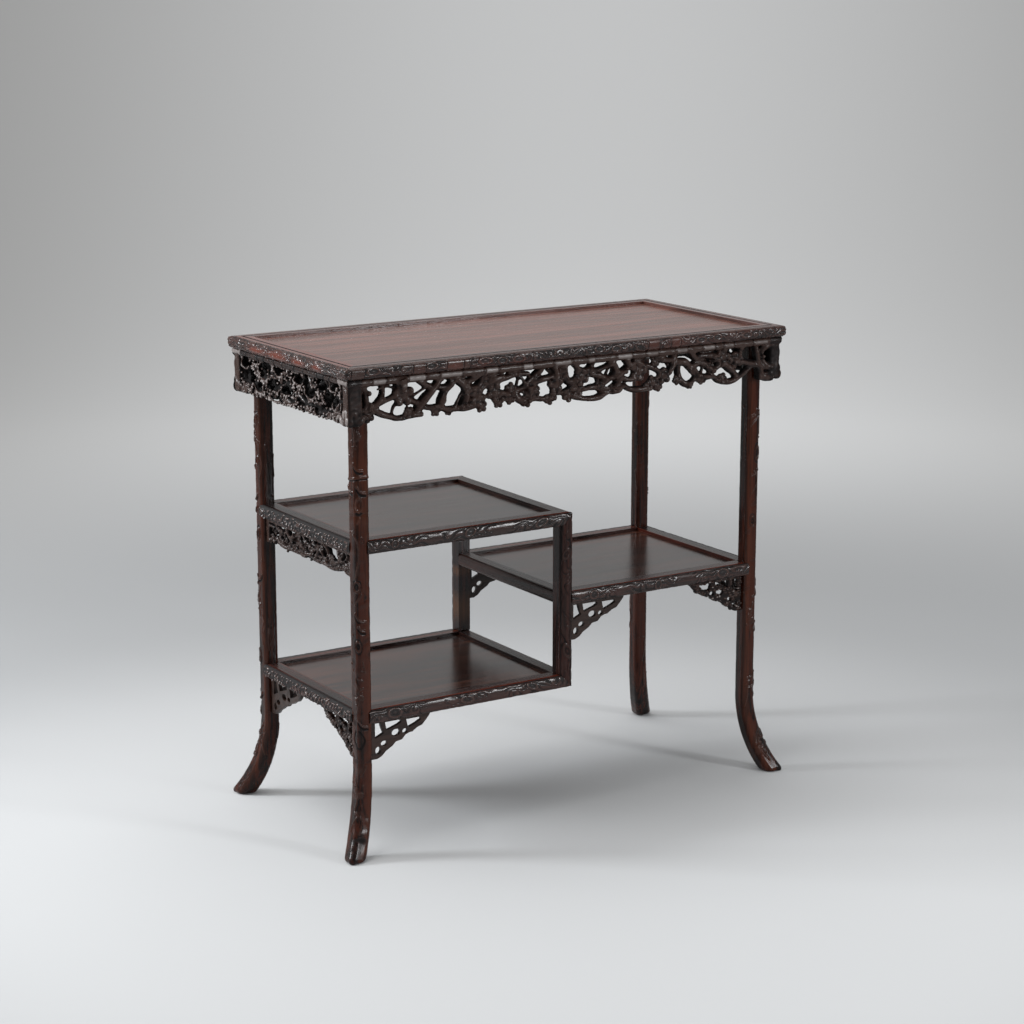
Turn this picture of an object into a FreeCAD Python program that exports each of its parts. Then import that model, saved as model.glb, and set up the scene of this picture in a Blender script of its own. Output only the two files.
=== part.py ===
import FreeCAD, Part
import math
import os

# Three-tier display stand of carved dark hardwood, built as a joined frame.
# Millimetres, +Z up, -Y to the front, origin on the floor under the middle.

Vector = FreeCAD.Vector

# Top
stand_height = 820.0
top_width = 880.0
top_depth = 420.0
top_edge_height = 19.0
top_edge_round = 7.0
top_corner_round = 4.0
top_rim_width = 32.0
top_ledge_width = 26.0
top_recess = 5.0
top_panel_thickness = 8.0
rim_line_inset = 17.0
rim_line_width = 3.2
rim_line_depth = 1.4

# Openwork apron under the top
apron_inset = 7.0
apron_thickness = 22.0
apron_height = 77.0
apron_bar_height = 11.0
apron_end_width = 20.0

# Legs, which turn outwards at the foot
leg_size = 28.0
leg_round = 8.0
foot_rise = 150.0
foot_reach = 54.0

# Shelves and the posts between them
upper_shelf_top = 531.0
right_shelf_top = 391.0
lower_shelf_top = 245.0
shelf_rail_width = 26.0
shelf_rail_height = 23.0
shelf_rail_round = 6.0
shelf_setback = 1.5
shelf_recess = 5.5
shelf_panel_thickness = 8.0
post_size = 24.0
post_right = 10.0

# Brackets and the openwork under the upper shelf
bracket_width = 116.0
bracket_drop = 66.0
bracket_thickness = 7.0
shelf_apron_height = 46.0
shelf_apron_thickness = 14.0
shelf_apron_bar_height = 8.0
shelf_apron_end_width = 22.0

# Joints
joint_gap = 0.15
tongue_thickness = 4.0
tongue_length = 6.0
tenon_thickness = 7.0
tenon_height = 12.0
tenon_length = 8.0
stub_height = 5.0
stub_width = 24.0
bracket_stub_thickness = 4.0
bracket_stub_depth = 4.0
leg_tenon_thickness = 7.0
leg_tenon_width = 11.0
mitre_tenon_width = 10.0
mitre_tenon_thickness = 6.0
batten_width = 30.0
top_batten_height = 14.0
batten_tenon_width = 18.0

# Levels and planes that follow from the sizes above
top_underside = stand_height - top_edge_height
top_panel_top = stand_height - top_recess
ledge_top = top_panel_top - top_panel_thickness
apron_outer_x = top_width / 2 - apron_inset
apron_outer_y = top_depth / 2 - apron_inset
apron_inner_x = apron_outer_x - apron_thickness
apron_inner_y = apron_outer_y - apron_thickness
leg_x = apron_inner_x - leg_size / 2
leg_y = apron_inner_y - leg_size / 2
leg_inner_x = leg_x - leg_size / 2
leg_inner_y = leg_y - leg_size / 2
shelf_face_x = apron_inner_x - shelf_setback
shelf_face_y = apron_inner_y - shelf_setback
shelf_inner_x = shelf_face_x - shelf_rail_width
shelf_inner_y = shelf_face_y - shelf_rail_width
post_left = post_right - post_size
post_inner_y = shelf_face_y - post_size
post_middle_x = post_right - post_size / 2
rail_middle_y = shelf_face_y - shelf_rail_width / 2
rail_middle_x = shelf_face_x - shelf_rail_width / 2

parts = {}


# Plain shapes
def box(x0, x1, y0, y1, z0, z1):
    low = Vector(min(x0, x1), min(y0, y1), min(z0, z1))
    return Part.makeBox(abs(x1 - x0), abs(y1 - y0), abs(z1 - z0), low)


def grown(shape_box, gap):
    b = shape_box.BoundBox
    return box(b.XMin - gap, b.XMax + gap, b.YMin - gap, b.YMax + gap, b.ZMin - gap, b.ZMax + gap)


def beyond(point, normal):
    """A block that holds everything on the side of a plane that the normal points to."""
    side = 4 * top_width
    block = Part.makeBox(side, side, side, Vector(-side / 2, -side / 2, 0))
    block.Placement = FreeCAD.Placement(point, FreeCAD.Rotation(Vector(0, 0, 1), normal))
    return block


def mirror_x(shape):
    return shape.mirror(Vector(0, 0, 0), Vector(1, 0, 0))


def mirror_y(shape):
    return shape.mirror(Vector(0, 0, 0), Vector(0, 1, 0))


def turned(shape, degrees):
    """A copy turned about the upright axis."""
    copy = shape.copy()
    copy.rotate(Vector(0, 0, 0), Vector(0, 0, 1), degrees)
    return copy


def moved(shape, x, y, z):
    copy = shape.copy()
    copy.translate(Vector(x, y, z))
    return copy


def fillet_edges(shape, radius, chosen):
    return shape.makeFillet(radius, [edge for edge in shape.Edges if chosen(edge)])


def runs_along(edge, axis):
    """True where an edge is straight and lies along the x (0), y (1) or z (2) axis."""
    start, end = edge.Vertexes[0].Point, edge.Vertexes[-1].Point
    span = [abs(start[i] - end[i]) for i in range(3)]
    return span[axis] > 1 and all(span[i] < 1e-6 for i in range(3) if i != axis)


def tenon_in(female, tenon):
    """Cuts the mortise for a tenon, larger all round by the joint gap."""
    return female.cut(grown(tenon, joint_gap))


# Leg: a rounded square bar that bends outwards along the diagonal below foot_rise
def make_leg():
    half = leg_size / 2
    bar = box(-half, half, -half, half, foot_rise, top_underside)
    bar = fillet_edges(bar, leg_round, lambda edge: runs_along(edge, 2))
    section = [face for face in bar.Faces if abs(face.CenterOfMass.z - foot_rise) < 1e-6][0]
    bend = (foot_rise**2 + foot_reach**2) / (2 * foot_reach)
    out = Vector(1, 1, 0).normalize()
    centre = Vector(0, 0, foot_rise) + out * bend

    def on_bend(angle):
        return centre - out * (bend * math.cos(angle)) - Vector(0, 0, bend * math.sin(angle))

    end = math.asin(foot_rise / (bend - leg_size * 0.6)) + math.radians(1)
    arc = Part.Arc(on_bend(0), on_bend(end / 2), on_bend(end)).toShape()
    foot = Part.Wire([arc]).makePipe(section)
    ground = box(-top_width, top_width, -top_width, top_width, -top_width, 0)
    return bar.fuse(foot.cut(ground)).removeSplitter()


plain_leg = moved(make_leg(), leg_x, leg_y, 0)
rail_tenon = box(leg_x - leg_size * 0.42, leg_x - leg_size * 0.42 + leg_tenon_width,
                 leg_y + leg_size * 0.11, leg_y + leg_size * 0.11 + leg_tenon_thickness,
                 top_underside - stub_height, top_underside + stub_height)
end_tenon = box(leg_x + leg_size * 0.11, leg_x + leg_size * 0.11 + leg_tenon_thickness,
                leg_y - leg_size * 0.42, leg_y - leg_size * 0.42 + leg_tenon_width,
                top_underside - stub_height, top_underside + stub_height)
back_right = plain_leg.fuse(rail_tenon).fuse(end_tenon)
legs = {
    "back_right": back_right,
    "back_left": mirror_x(back_right),
    "front_right": mirror_y(back_right),
    "front_left": mirror_x(mirror_y(back_right)),
}
plain_legs = {
    "back_right": plain_leg,
    "back_left": mirror_x(plain_leg),
    "front_right": mirror_y(plain_leg),
    "front_left": mirror_x(mirror_y(plain_leg)),
}


# Top frame: two long rails and two ends, mitred, with a ledge and groove for the panel
def frame_bar(half_length, half_depth):
    """One member along X at the back, before its mitres are cut."""
    y_out = half_depth
    y_wall = half_depth - top_rim_width
    y_ledge = y_wall - top_ledge_width
    bar = box(-half_length, half_length, y_wall, y_out, top_underside, stand_height)
    bar = fillet_edges(bar, top_edge_round,
                       lambda edge: runs_along(edge, 0) and abs(edge.CenterOfMass.y - y_out) < 1e-6)
    bar = bar.fuse(box(-half_length, half_length, y_ledge, y_wall, top_underside, ledge_top))
    groove_low = ledge_top + (top_panel_thickness - tongue_thickness) / 2 - joint_gap
    bar = bar.cut(box(-half_length, half_length, y_wall, y_wall + tongue_length + joint_gap,
                      groove_low, groove_low + tongue_thickness + 2 * joint_gap))
    line = y_out - rim_line_inset
    bar = bar.cut(box(-half_length, half_length, line - rim_line_width, line,
                      stand_height - rim_line_depth, stand_height))
    corner = Vector(half_length, half_depth, top_underside)
    bar = bar.cut(beyond(corner, Vector(1, -1, 0)))
    return bar.cut(beyond(Vector(-corner.x, corner.y, corner.z), Vector(-1, -1, 0)))


long_bar = frame_bar(top_width / 2, top_depth / 2)
end_bar = turned(frame_bar(top_depth / 2, top_width / 2), -90)
tenon_y = top_depth / 2 - top_rim_width / 2 + 1
mitre_tenon = box(top_width / 2 - top_rim_width + 2, top_width / 2 - top_edge_round,
                  tenon_y, tenon_y + mitre_tenon_width,
                  ledge_top, ledge_top + mitre_tenon_thickness)
long_bar = long_bar.fuse([mitre_tenon, mirror_x(mitre_tenon)]).removeSplitter()
end_bar = tenon_in(tenon_in(end_bar, mitre_tenon), mirror_y(mitre_tenon))
long_bar = tenon_in(tenon_in(long_bar, rail_tenon), mirror_x(rail_tenon))
end_bar = tenon_in(tenon_in(end_bar, end_tenon), mirror_y(end_tenon))

# Stub tenons that stand on the aprons and enter the frame
long_stub_places = [-0.3 * top_width, 0.0, 0.3 * top_width]
short_stub_places = [-0.25 * top_depth, 0.25 * top_depth]
stub_thickness = apron_thickness * 0.45


def long_stub(x):
    y = apron_outer_y - apron_thickness / 2
    return box(x - stub_width / 2, x + stub_width / 2, y - stub_thickness / 2, y + stub_thickness / 2,
               top_underside - 2, top_underside + stub_height)


def short_stub(y):
    x = apron_outer_x - apron_thickness / 2
    return box(x - stub_thickness / 2, x + stub_thickness / 2, y - stub_width / 2, y + stub_width / 2,
               top_underside - 2, top_underside + stub_height)


for place in long_stub_places:
    long_bar = tenon_in(long_bar, long_stub(place))
for place in short_stub_places:
    end_bar = tenon_in(end_bar, short_stub(place))

# Battens under the top panel
ledge_inner_y = top_depth / 2 - top_rim_width - top_ledge_width
ledge_height = ledge_top - top_underside
top_batten_places = [-0.17 * top_width, 0.17 * top_width]
batten_name = ["left", "right"]
for name, x in zip(batten_name, top_batten_places):
    batten = box(x - batten_width / 2, x + batten_width / 2, -ledge_inner_y, ledge_inner_y,
                 ledge_top - top_batten_height, ledge_top)
    tenon = box(x - batten_tenon_width / 2, x + batten_tenon_width / 2, 0, ledge_inner_y + tenon_length,
                top_underside + ledge_height * 0.2, top_underside + ledge_height * 0.75)
    parts["top_batten_" + name] = batten.fuse([tenon, mirror_y(tenon)]).removeSplitter()
    long_bar = tenon_in(long_bar, tenon)

# The four outer corners are rounded through both members
corner_block = box(top_width / 2 - top_corner_round, top_width / 2 + 1,
                   top_depth / 2 - top_corner_round, top_depth / 2 + 1, top_underside, stand_height)
corner_rod = Part.makeCylinder(top_corner_round, top_edge_height, Vector(
    top_width / 2 - top_corner_round, top_depth / 2 - top_corner_round, top_underside))
corner_waste = corner_block.cut(corner_rod)
long_bar = long_bar.cut([corner_waste, mirror_x(corner_waste)])
end_bar = end_bar.cut([corner_waste, mirror_y(corner_waste)])

parts["top_rail_back"] = long_bar
parts["top_rail_front"] = mirror_y(long_bar)
parts["top_end_right"] = end_bar
parts["top_end_left"] = mirror_x(end_bar)

panel_x = top_width / 2 - top_rim_width - joint_gap
panel_y = top_depth / 2 - top_rim_width - joint_gap
tongue_low = ledge_top + (top_panel_thickness - tongue_thickness) / 2
tongue_top = tongue_low + tongue_thickness
top_panel = box(-panel_x, panel_x, -panel_y, panel_y, ledge_top, top_panel_top)
tongues = [
    box(-panel_x - tongue_length, panel_x + tongue_length, -panel_y, panel_y, tongue_low, tongue_top),
    box(-panel_x, panel_x, -panel_y - tongue_length, panel_y + tongue_length, tongue_low, tongue_top),
]
parts["top_panel"] = top_panel.fuse(tongues).removeSplitter()


# Shelf rails
def shelf_rail(axis, start, stop, outer, inner, top, groove=True):
    """A rail along X (axis 0) or Y (axis 1) with its outer edges rounded and a groove inside."""
    low = top - shelf_rail_height
    groove_top = top - shelf_recess - (shelf_panel_thickness - tongue_thickness) / 2 + joint_gap
    groove_low = groove_top - tongue_thickness - 2 * joint_gap
    depth = tongue_length + joint_gap
    inward = depth if outer > inner else -depth
    if axis == 0:
        rail = box(start, stop, outer, inner, low, top)
        slot = box(start, stop, inner, inner + inward, groove_low, groove_top)
    else:
        rail = box(outer, inner, start, stop, low, top)
        slot = box(inner, inner + inward, start, stop, groove_low, groove_top)
    rail = fillet_edges(rail, shelf_rail_round, lambda edge: (
        runs_along(edge, axis) and abs(edge.CenterOfMass[1 - axis] - outer) < 1e-6))
    return rail.cut(slot) if groove else rail


def end_tenon_x(face, toward, y, top):
    """A rail's tenon that passes a face square to X, towards +1 or -1."""
    middle = top - shelf_rail_height / 2
    return box(face - toward * 4, face + toward * tenon_length,
               y - tenon_thickness / 2, y + tenon_thickness / 2,
               middle - tenon_height / 2, middle + tenon_height / 2)


def end_tenon_y(face, toward, x, top):
    middle = top - shelf_rail_height / 2
    return box(x - tenon_thickness / 2, x + tenon_thickness / 2,
               face - toward * 4, face + toward * tenon_length,
               middle - tenon_height / 2, middle + tenon_height / 2)


def joined(rail, tenons, plain):
    """A rail fitted to the legs or posts it meets, with its tenons added."""
    for shape in plain:
        rail = rail.cut(shape)
    return rail.fuse(tenons).removeSplitter()


# Posts, with a core tenon at each end for the three-way mitres
core_low, core_high = post_size / 3, post_size * 2 / 3
core_cover = 5.0


def post_core(z_end, into):
    """The tenon inside the corner, from the post's end back into the post."""
    return box(post_right - core_high, post_right - core_low,
               -shelf_face_y + core_low, -shelf_face_y + core_high,
               z_end - into * core_cover, z_end - into * (post_size + core_cover))


post_bottom = lower_shelf_top - shelf_rail_height
front_post = box(post_left, post_right, -shelf_face_y, -post_inner_y, post_bottom, upper_shelf_top)
front_post = fillet_edges(front_post, shelf_rail_round, lambda edge: (
    runs_along(edge, 2) and edge.CenterOfMass.y < -shelf_face_y + 1))
upper_corner = Vector(post_right, -shelf_face_y, upper_shelf_top)
lower_corner = Vector(post_right, -shelf_face_y, post_bottom)
for corner, up in [(upper_corner, 1), (lower_corner, -1)]:
    front_post = front_post.cut(beyond(corner, Vector(-1, 0, up)))
    front_post = front_post.cut(beyond(corner, Vector(0, 1, up)))
upper_core = post_core(upper_shelf_top, 1)
lower_core = post_core(post_bottom, -1)
front_post = front_post.fuse([upper_core, lower_core]).removeSplitter()
plain_post = box(post_left, post_right, -shelf_face_y, -post_inner_y, post_bottom, upper_shelf_top)


# The two left shelves hang between the left legs and the posts
def left_shelf(name, top, corner, up, core):
    front = shelf_rail(0, -leg_x, post_right, -shelf_face_y, -shelf_inner_y, top)
    front = front.cut(beyond(corner, Vector(1, 1, 0))).cut(beyond(corner, Vector(1, 0, -up)))
    front = tenon_in(front, core)
    front_tenon = end_tenon_x(-leg_inner_x, -1, -rail_middle_y, top)
    front = joined(front, [front_tenon], [plain_legs["front_left"]])
    side_top = shelf_rail(1, -shelf_face_y, shelf_face_y, post_right, post_right - shelf_rail_width, top)
    for flip in (lambda shape: shape, mirror_y):
        at = Vector(corner.x, corner.y if flip is not mirror_y else -corner.y, corner.z)
        sign = 1 if flip is not mirror_y else -1
        side_top = side_top.cut(beyond(at, Vector(-1, -sign, 0))).cut(beyond(at, Vector(0, -sign, -up)))
        side_top = tenon_in(side_top, flip(core))
    left = shelf_rail(1, -leg_y, leg_y, -shelf_face_x, -shelf_inner_x, top)
    left_tenon = end_tenon_y(-leg_inner_y, -1, -rail_middle_x, top)
    left = joined(left, [left_tenon, mirror_y(left_tenon)],
                  [plain_legs["front_left"], plain_legs["back_left"]])
    legs["front_left"] = tenon_in(tenon_in(legs["front_left"], front_tenon), left_tenon)
    legs["back_left"] = tenon_in(tenon_in(legs["back_left"], mirror_y(front_tenon)), mirror_y(left_tenon))
    parts[name + "_rail_front"] = front
    parts[name + "_rail_back"] = mirror_y(front)
    parts[name + "_rail_left"] = left
    parts[name + "_rail_right"] = side_top
    shelf_panel(name, -shelf_inner_x, post_right - shelf_rail_width, top)


def shelf_panel(name, x_left, x_right, top):
    """The panel in its grooves and the batten that carries it."""
    panel_top = top - shelf_recess
    low = panel_top - shelf_panel_thickness
    x0, x1 = x_left + joint_gap, x_right - joint_gap
    y1 = shelf_inner_y - joint_gap
    slot = low + (shelf_panel_thickness - tongue_thickness) / 2
    panel = box(x0, x1, -y1, y1, low, panel_top)
    side = box(x0 - tongue_length, x1 + tongue_length, -y1 + 4, y1 - 4, slot, slot + tongue_thickness)
    cross = box(x0 + 4, x1 - 4, -y1 - tongue_length, y1 + tongue_length, slot, slot + tongue_thickness)
    parts[name + "_panel"] = panel.fuse([side, cross]).removeSplitter()
    rail_low = top - shelf_rail_height
    middle = (x_left + x_right) / 2
    batten = box(middle - batten_width / 2, middle + batten_width / 2, -shelf_inner_y, shelf_inner_y,
                 rail_low, low)
    reach = (low - rail_low) * 0.25
    tenon = box(middle - batten_tenon_width / 2, middle + batten_tenon_width / 2,
                0, shelf_inner_y + tenon_length, rail_low + reach, low - reach)
    parts[name + "_batten"] = batten.fuse([tenon, mirror_y(tenon)]).removeSplitter()
    back = tenon_in(parts[name + "_rail_back"], tenon)
    parts[name + "_rail_back"] = back
    parts[name + "_rail_front"] = tenon_in(parts[name + "_rail_front"], mirror_y(tenon))


left_shelf("upper", upper_shelf_top, upper_corner, 1, upper_core)
left_shelf("lower", lower_shelf_top, lower_corner, -1, lower_core)

# The right shelf is carried by the posts and the right legs
right_front = shelf_rail(0, post_right, leg_x, -shelf_face_y, -shelf_inner_y, right_shelf_top)
post_tenon = end_tenon_x(post_right, -1, -rail_middle_y, right_shelf_top)
leg_tenon = end_tenon_x(leg_inner_x, 1, -rail_middle_y, right_shelf_top)
right_front = joined(right_front, [post_tenon, leg_tenon], [plain_legs["front_right"]])
side_tenon = end_tenon_y(-leg_inner_y, -1, rail_middle_x, right_shelf_top)
right_side = shelf_rail(1, -leg_y, leg_y, shelf_face_x, shelf_inner_x, right_shelf_top)
right_side = joined(right_side, [side_tenon, mirror_y(side_tenon)],
                    [plain_legs["front_right"], plain_legs["back_right"]])
middle_tenon = end_tenon_y(-post_inner_y, -1, post_middle_x, right_shelf_top)
right_middle = shelf_rail(1, -post_inner_y, post_inner_y, post_left, post_right, right_shelf_top)
right_middle = right_middle.fuse([middle_tenon, mirror_y(middle_tenon)]).removeSplitter()
legs["front_right"] = tenon_in(tenon_in(legs["front_right"], leg_tenon), side_tenon)
legs["back_right"] = tenon_in(tenon_in(legs["back_right"], mirror_y(leg_tenon)), mirror_y(side_tenon))
front_post = tenon_in(tenon_in(front_post, post_tenon), middle_tenon)
parts["right_rail_front"] = right_front
parts["right_rail_back"] = mirror_y(right_front)
parts["right_rail_side"] = right_side
parts["right_rail_middle"] = right_middle
shelf_panel("right", post_right, shelf_inner_x, right_shelf_top)
posts = {"front": front_post, "back": mirror_y(front_post)}

# Bracket board: leg side at the left, rail side at the top, both at zero.
# Each point is (distance from the leg, drop below the rail) for the size drawn.
drawn_bracket = (116.0, 66.0)
bracket_edge = [(0, 66), (13, 66), (22, 62), (29, 55), (42, 48), (48, 42), (60, 40), (67, 33), (75, 30),
                (80, 30), (89, 24), (99, 21), (107, 13), (113, 6), (116, 0)]
bracket_slots = [
    [(9, 4.5), (19, 4.5), (21, 13), (25, 23.5), (9, 30.5)],
    [(28, 5), (58, 5), (59, 9.5), (52, 13), (31, 19.5)],
    [(68.5, 6.5), (95, 6.5), (97, 11), (88, 15.5), (80, 18.5), (72, 21.5)],
]
# Ovals: distance from the leg, drop, half width, half height.
bracket_holes = [(48.5, 26, 8, 6), (65.8, 26.2, 5, 4.2), (26, 41, 6.2, 4.6), (14.3, 51.5, 5.2, 6.4)]
oval_corners = 20


def bracket_board():
    """The pierced board in the XZ plane, from y 0 to its thickness, with its two stub tenons."""
    across = bracket_width / drawn_bracket[0]
    down = bracket_drop / drawn_bracket[1]

    def place(u, v):
        return Vector(u * across, 0, -v * down)

    def outline(points):
        corners = [place(u, v) for u, v in points]
        return Part.Wire(Part.makePolygon(corners + corners[:1]))

    wires = [outline([(0, 0)] + bracket_edge)]
    wires += [outline(slot) for slot in bracket_slots]
    for u, v, half_width, half_height in bracket_holes:
        turns = [2 * math.pi * k / oval_corners for k in range(oval_corners)]
        wires.append(outline([(u + half_width * math.cos(a), v + half_height * math.sin(a)) for a in turns]))
    face = Part.Face(wires[0])
    for wire in wires[1:]:
        face = face.cut(Part.Face(wire))
    board = face.extrude(Vector(0, bracket_thickness, 0))
    y0 = (bracket_thickness - bracket_stub_thickness) / 2
    y1 = y0 + bracket_stub_thickness
    rail_stub = box(bracket_width * 0.3, bracket_width * 0.5, y0, y1, -2, bracket_stub_depth)
    leg_stub = box(-bracket_stub_depth, 2, y0, y1, -bracket_drop * 0.85, -bracket_drop * 0.6)
    return board, rail_stub, leg_stub


def set_bracket(name, place, rail_name, upright, upright_name):
    """Puts one bracket in its corner and cuts its two mortises."""
    board, rail_stub, leg_stub = [place(shape) for shape in bracket_board()]
    for group in (plain_legs, {"post": plain_post, "back_post": mirror_y(plain_post)}):
        for shape in group.values():
            if board.BoundBox.intersect(shape.BoundBox):
                board = board.cut(shape)
    parts[name] = board.fuse([rail_stub, leg_stub]).removeSplitter()
    parts[rail_name] = tenon_in(parts[rail_name], rail_stub)
    upright[upright_name] = tenon_in(upright[upright_name], leg_stub)


def along_x(x, y, z, facing):
    """A bracket in a front or back plane that starts at x and runs towards facing."""
    def place(shape):
        copy = moved(shape, 0, -bracket_thickness / 2, 0)
        copy = copy if facing > 0 else mirror_x(copy)
        return moved(copy, x, y, z)
    return place


def along_y(x, y, z, facing):
    """A bracket in a side plane that starts at y and runs towards facing."""
    def place(shape):
        copy = turned(moved(shape, 0, -bracket_thickness / 2, 0), 90)
        copy = copy if facing > 0 else mirror_y(copy)
        return moved(copy, x, y, z)
    return place


lower_under = lower_shelf_top - shelf_rail_height
right_under = right_shelf_top - shelf_rail_height
for side, sign in [("front", -1), ("back", 1)]:
    set_bracket("lower_bracket_" + side, along_x(-leg_inner_x, sign * leg_y, lower_under, 1),
                "lower_rail_" + side, legs, side + "_left")
    set_bracket("lower_bracket_left_" + side, along_y(-leg_x, sign * leg_inner_y, lower_under, -sign),
                "lower_rail_left", legs, side + "_left")
    set_bracket("right_bracket_post_" + side, along_x(post_right, sign * leg_y, right_under, 1),
                "right_rail_" + side, posts, side)
    set_bracket("right_bracket_leg_" + side, along_x(leg_inner_x, sign * leg_y, right_under, -1),
                "right_rail_" + side, legs, side + "_right")
    set_bracket("right_bracket_side_" + side, along_y(leg_x, sign * leg_inner_y, right_under, -sign),
                "right_rail_side", legs, side + "_right")

# Branches and blossoms of the openwork, drawn at full size on a board of the size given.
# A branch is half its width, then points (along the board, height above its lowest twig).
long_drawing_size = (866.0, 77.0)
long_branches = [
    (4, [(-420, 20), (-385, 28), (-360, 38), (-340, 44)]),
    (4, [(-392, 28), (-372, 17), (-352, 10), (-335, 5), (-312, 9), (-294, 9)]),
    (4, [(-404, 70), (-398, 51), (-396, 34), (-402, 22)]),
    (4, [(-370, 70), (-366, 51), (-374, 38), (-388, 28)]),
    (8, [(-336, 70), (-332, 48)]),
    (4, [(-322, 36), (-300, 26), (-288, 19), (-262, 17), (-245, 10)]),
    (5, [(-306, 12), (-290, 33), (-272, 51), (-256, 70)]),
    (4, [(-310, 70), (-290, 57), (-270, 50), (-240, 52), (-226, 70)]),
    (5, [(-238, 54), (-250, 41), (-258, 28), (-262, 17)]),
    (5, [(-228, 60), (-216, 46), (-211, 31), (-216, 16), (-224, 11)]),
    (4, [(-248, 12), (-225, 11), (-208, 9), (-190, 16)]),
    (4, [(-222, 54), (-205, 55), (-190, 62), (-172, 70)]),
    (5, [(-214, 42), (-200, 41), (-188, 44), (-180, 56), (-178, 70)]),
    (5, [(-192, 30), (-175, 44), (-160, 52), (-140, 56)]),
    (4, [(-162, 34), (-150, 48), (-135, 54), (-110, 57), (-88, 55)]),
    (4, [(-166, 70), (-156, 58), (-146, 52)]),
    (5, [(-126, 70), (-116, 55)]),
    (4, [(-150, 33), (-135, 26), (-116, 29), (-92, 36), (-66, 44), (-40, 48)]),
    (4, [(-98, 38), (-80, 50), (-68, 58), (-60, 70)]),
    (5, [(-118, 28), (-112, 16), (-100, 11)]),
    (5, [(-90, 36), (-88, 21), (-92, 12)]),
    (4, [(-100, 9), (-80, 13), (-60, 11), (-38, 14)]),
    (5, [(-42, 70), (-38, 51), (-38, 34)]),
    (5, [(-20, 70), (-18, 48), (-10, 36), (4, 36)]),
    (4, [(-42, 20), (-22, 18), (-2, 24), (8, 20)]),
    (4, [(-4, 70), (8, 56), (30, 53), (42, 70)]),
    (4, [(30, 53), (46, 49), (62, 53), (76, 61), (84, 70)]),
    (4, [(20, 46), (45, 42), (62, 36), (80, 33), (95, 33), (110, 28), (128, 30)]),
    (5, [(76, 62), (84, 46), (80, 33)]),
    (5, [(122, 56), (104, 44), (92, 40), (82, 34)]),
    (5, [(102, 70), (112, 50)]),
    (4, [(112, 52), (140, 62), (165, 62), (180, 56), (206, 54)]),
    (4, [(130, 54), (150, 48), (165, 41), (180, 33)]),
    (4, [(18, 20), (40, 22), (55, 16), (70, 11), (88, 12), (100, 18), (115, 11), (130, 9), (152, 10)]),
    (5, [(95, 33), (86, 18), (76, 12)]),
    (4, [(-8, 12), (20, 4), (50, 4), (70, 11)]),
    (5, [(64, 36), (56, 24), (48, 20)]),
    (5, [(204, 70), (206, 52), (198, 38), (188, 30)]),
    (5, [(206, 50), (226, 48), (240, 38), (252, 28), (259, 20)]),
    (4, [(214, 48), (218, 26), (228, 11), (238, 5)]),
    (4, [(259, 20), (246, 13), (234, 6)]),
    (5, [(238, 70), (250, 53), (262, 55), (290, 54)]),
    (5, [(240, 38), (270, 42), (282, 31), (292, 28)]),
    (4, [(259, 20), (275, 18), (290, 17), (305, 8), (330, 5), (345, 11), (360, 18), (376, 28)]),
    (6, [(286, 54), (304, 48)]),
    (5, [(290, 28), (310, 36), (325, 28), (335, 20), (345, 11)]),
    (5, [(332, 38), (350, 38), (370, 33), (390, 28), (418, 20)]),
    (5, [(342, 46), (350, 62), (348, 70)]),
    (4, [(382, 70), (384, 51), (389, 28)]),
    (5, [(416, 62), (402, 60), (396, 46), (402, 30), (416, 22)]),
    (6, [(392, 26), (400, 8), (418, 6)]),
]
long_blossoms = [
    (-330, 44, 19), (-320, 14, 10), (-270, 11, 9), (-394, 15, 11), (-245, 8, 7), (-208, 38, 9),
    (-190, 26, 15), (-183, 11, 11), (-158, 31, 15), (-150, 14, 10), (-175, 56, 9), (-127, 34, 11),
    (-128, 18, 10), (-95, 11, 11), (-78, 26, 10), (-50, 10, 10), (-38, 33, 15), (-12, 13, 12),
    (-25, 54, 9), (12, 41, 16), (8, 20, 11), (48, 24, 9), (130, 41, 17), (160, 18, 13), (172, 10, 9),
    (185, 28, 14), (165, 51, 9), (75, 16, 8), (212, 18, 9), (240, 6, 7), (265, 14, 9), (310, 50, 15),
    (338, 42, 15), (310, 12, 10), (282, 34, 9), (400, 14, 11),
]
side_drawing_size = (406.0, 77.0)
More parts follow.
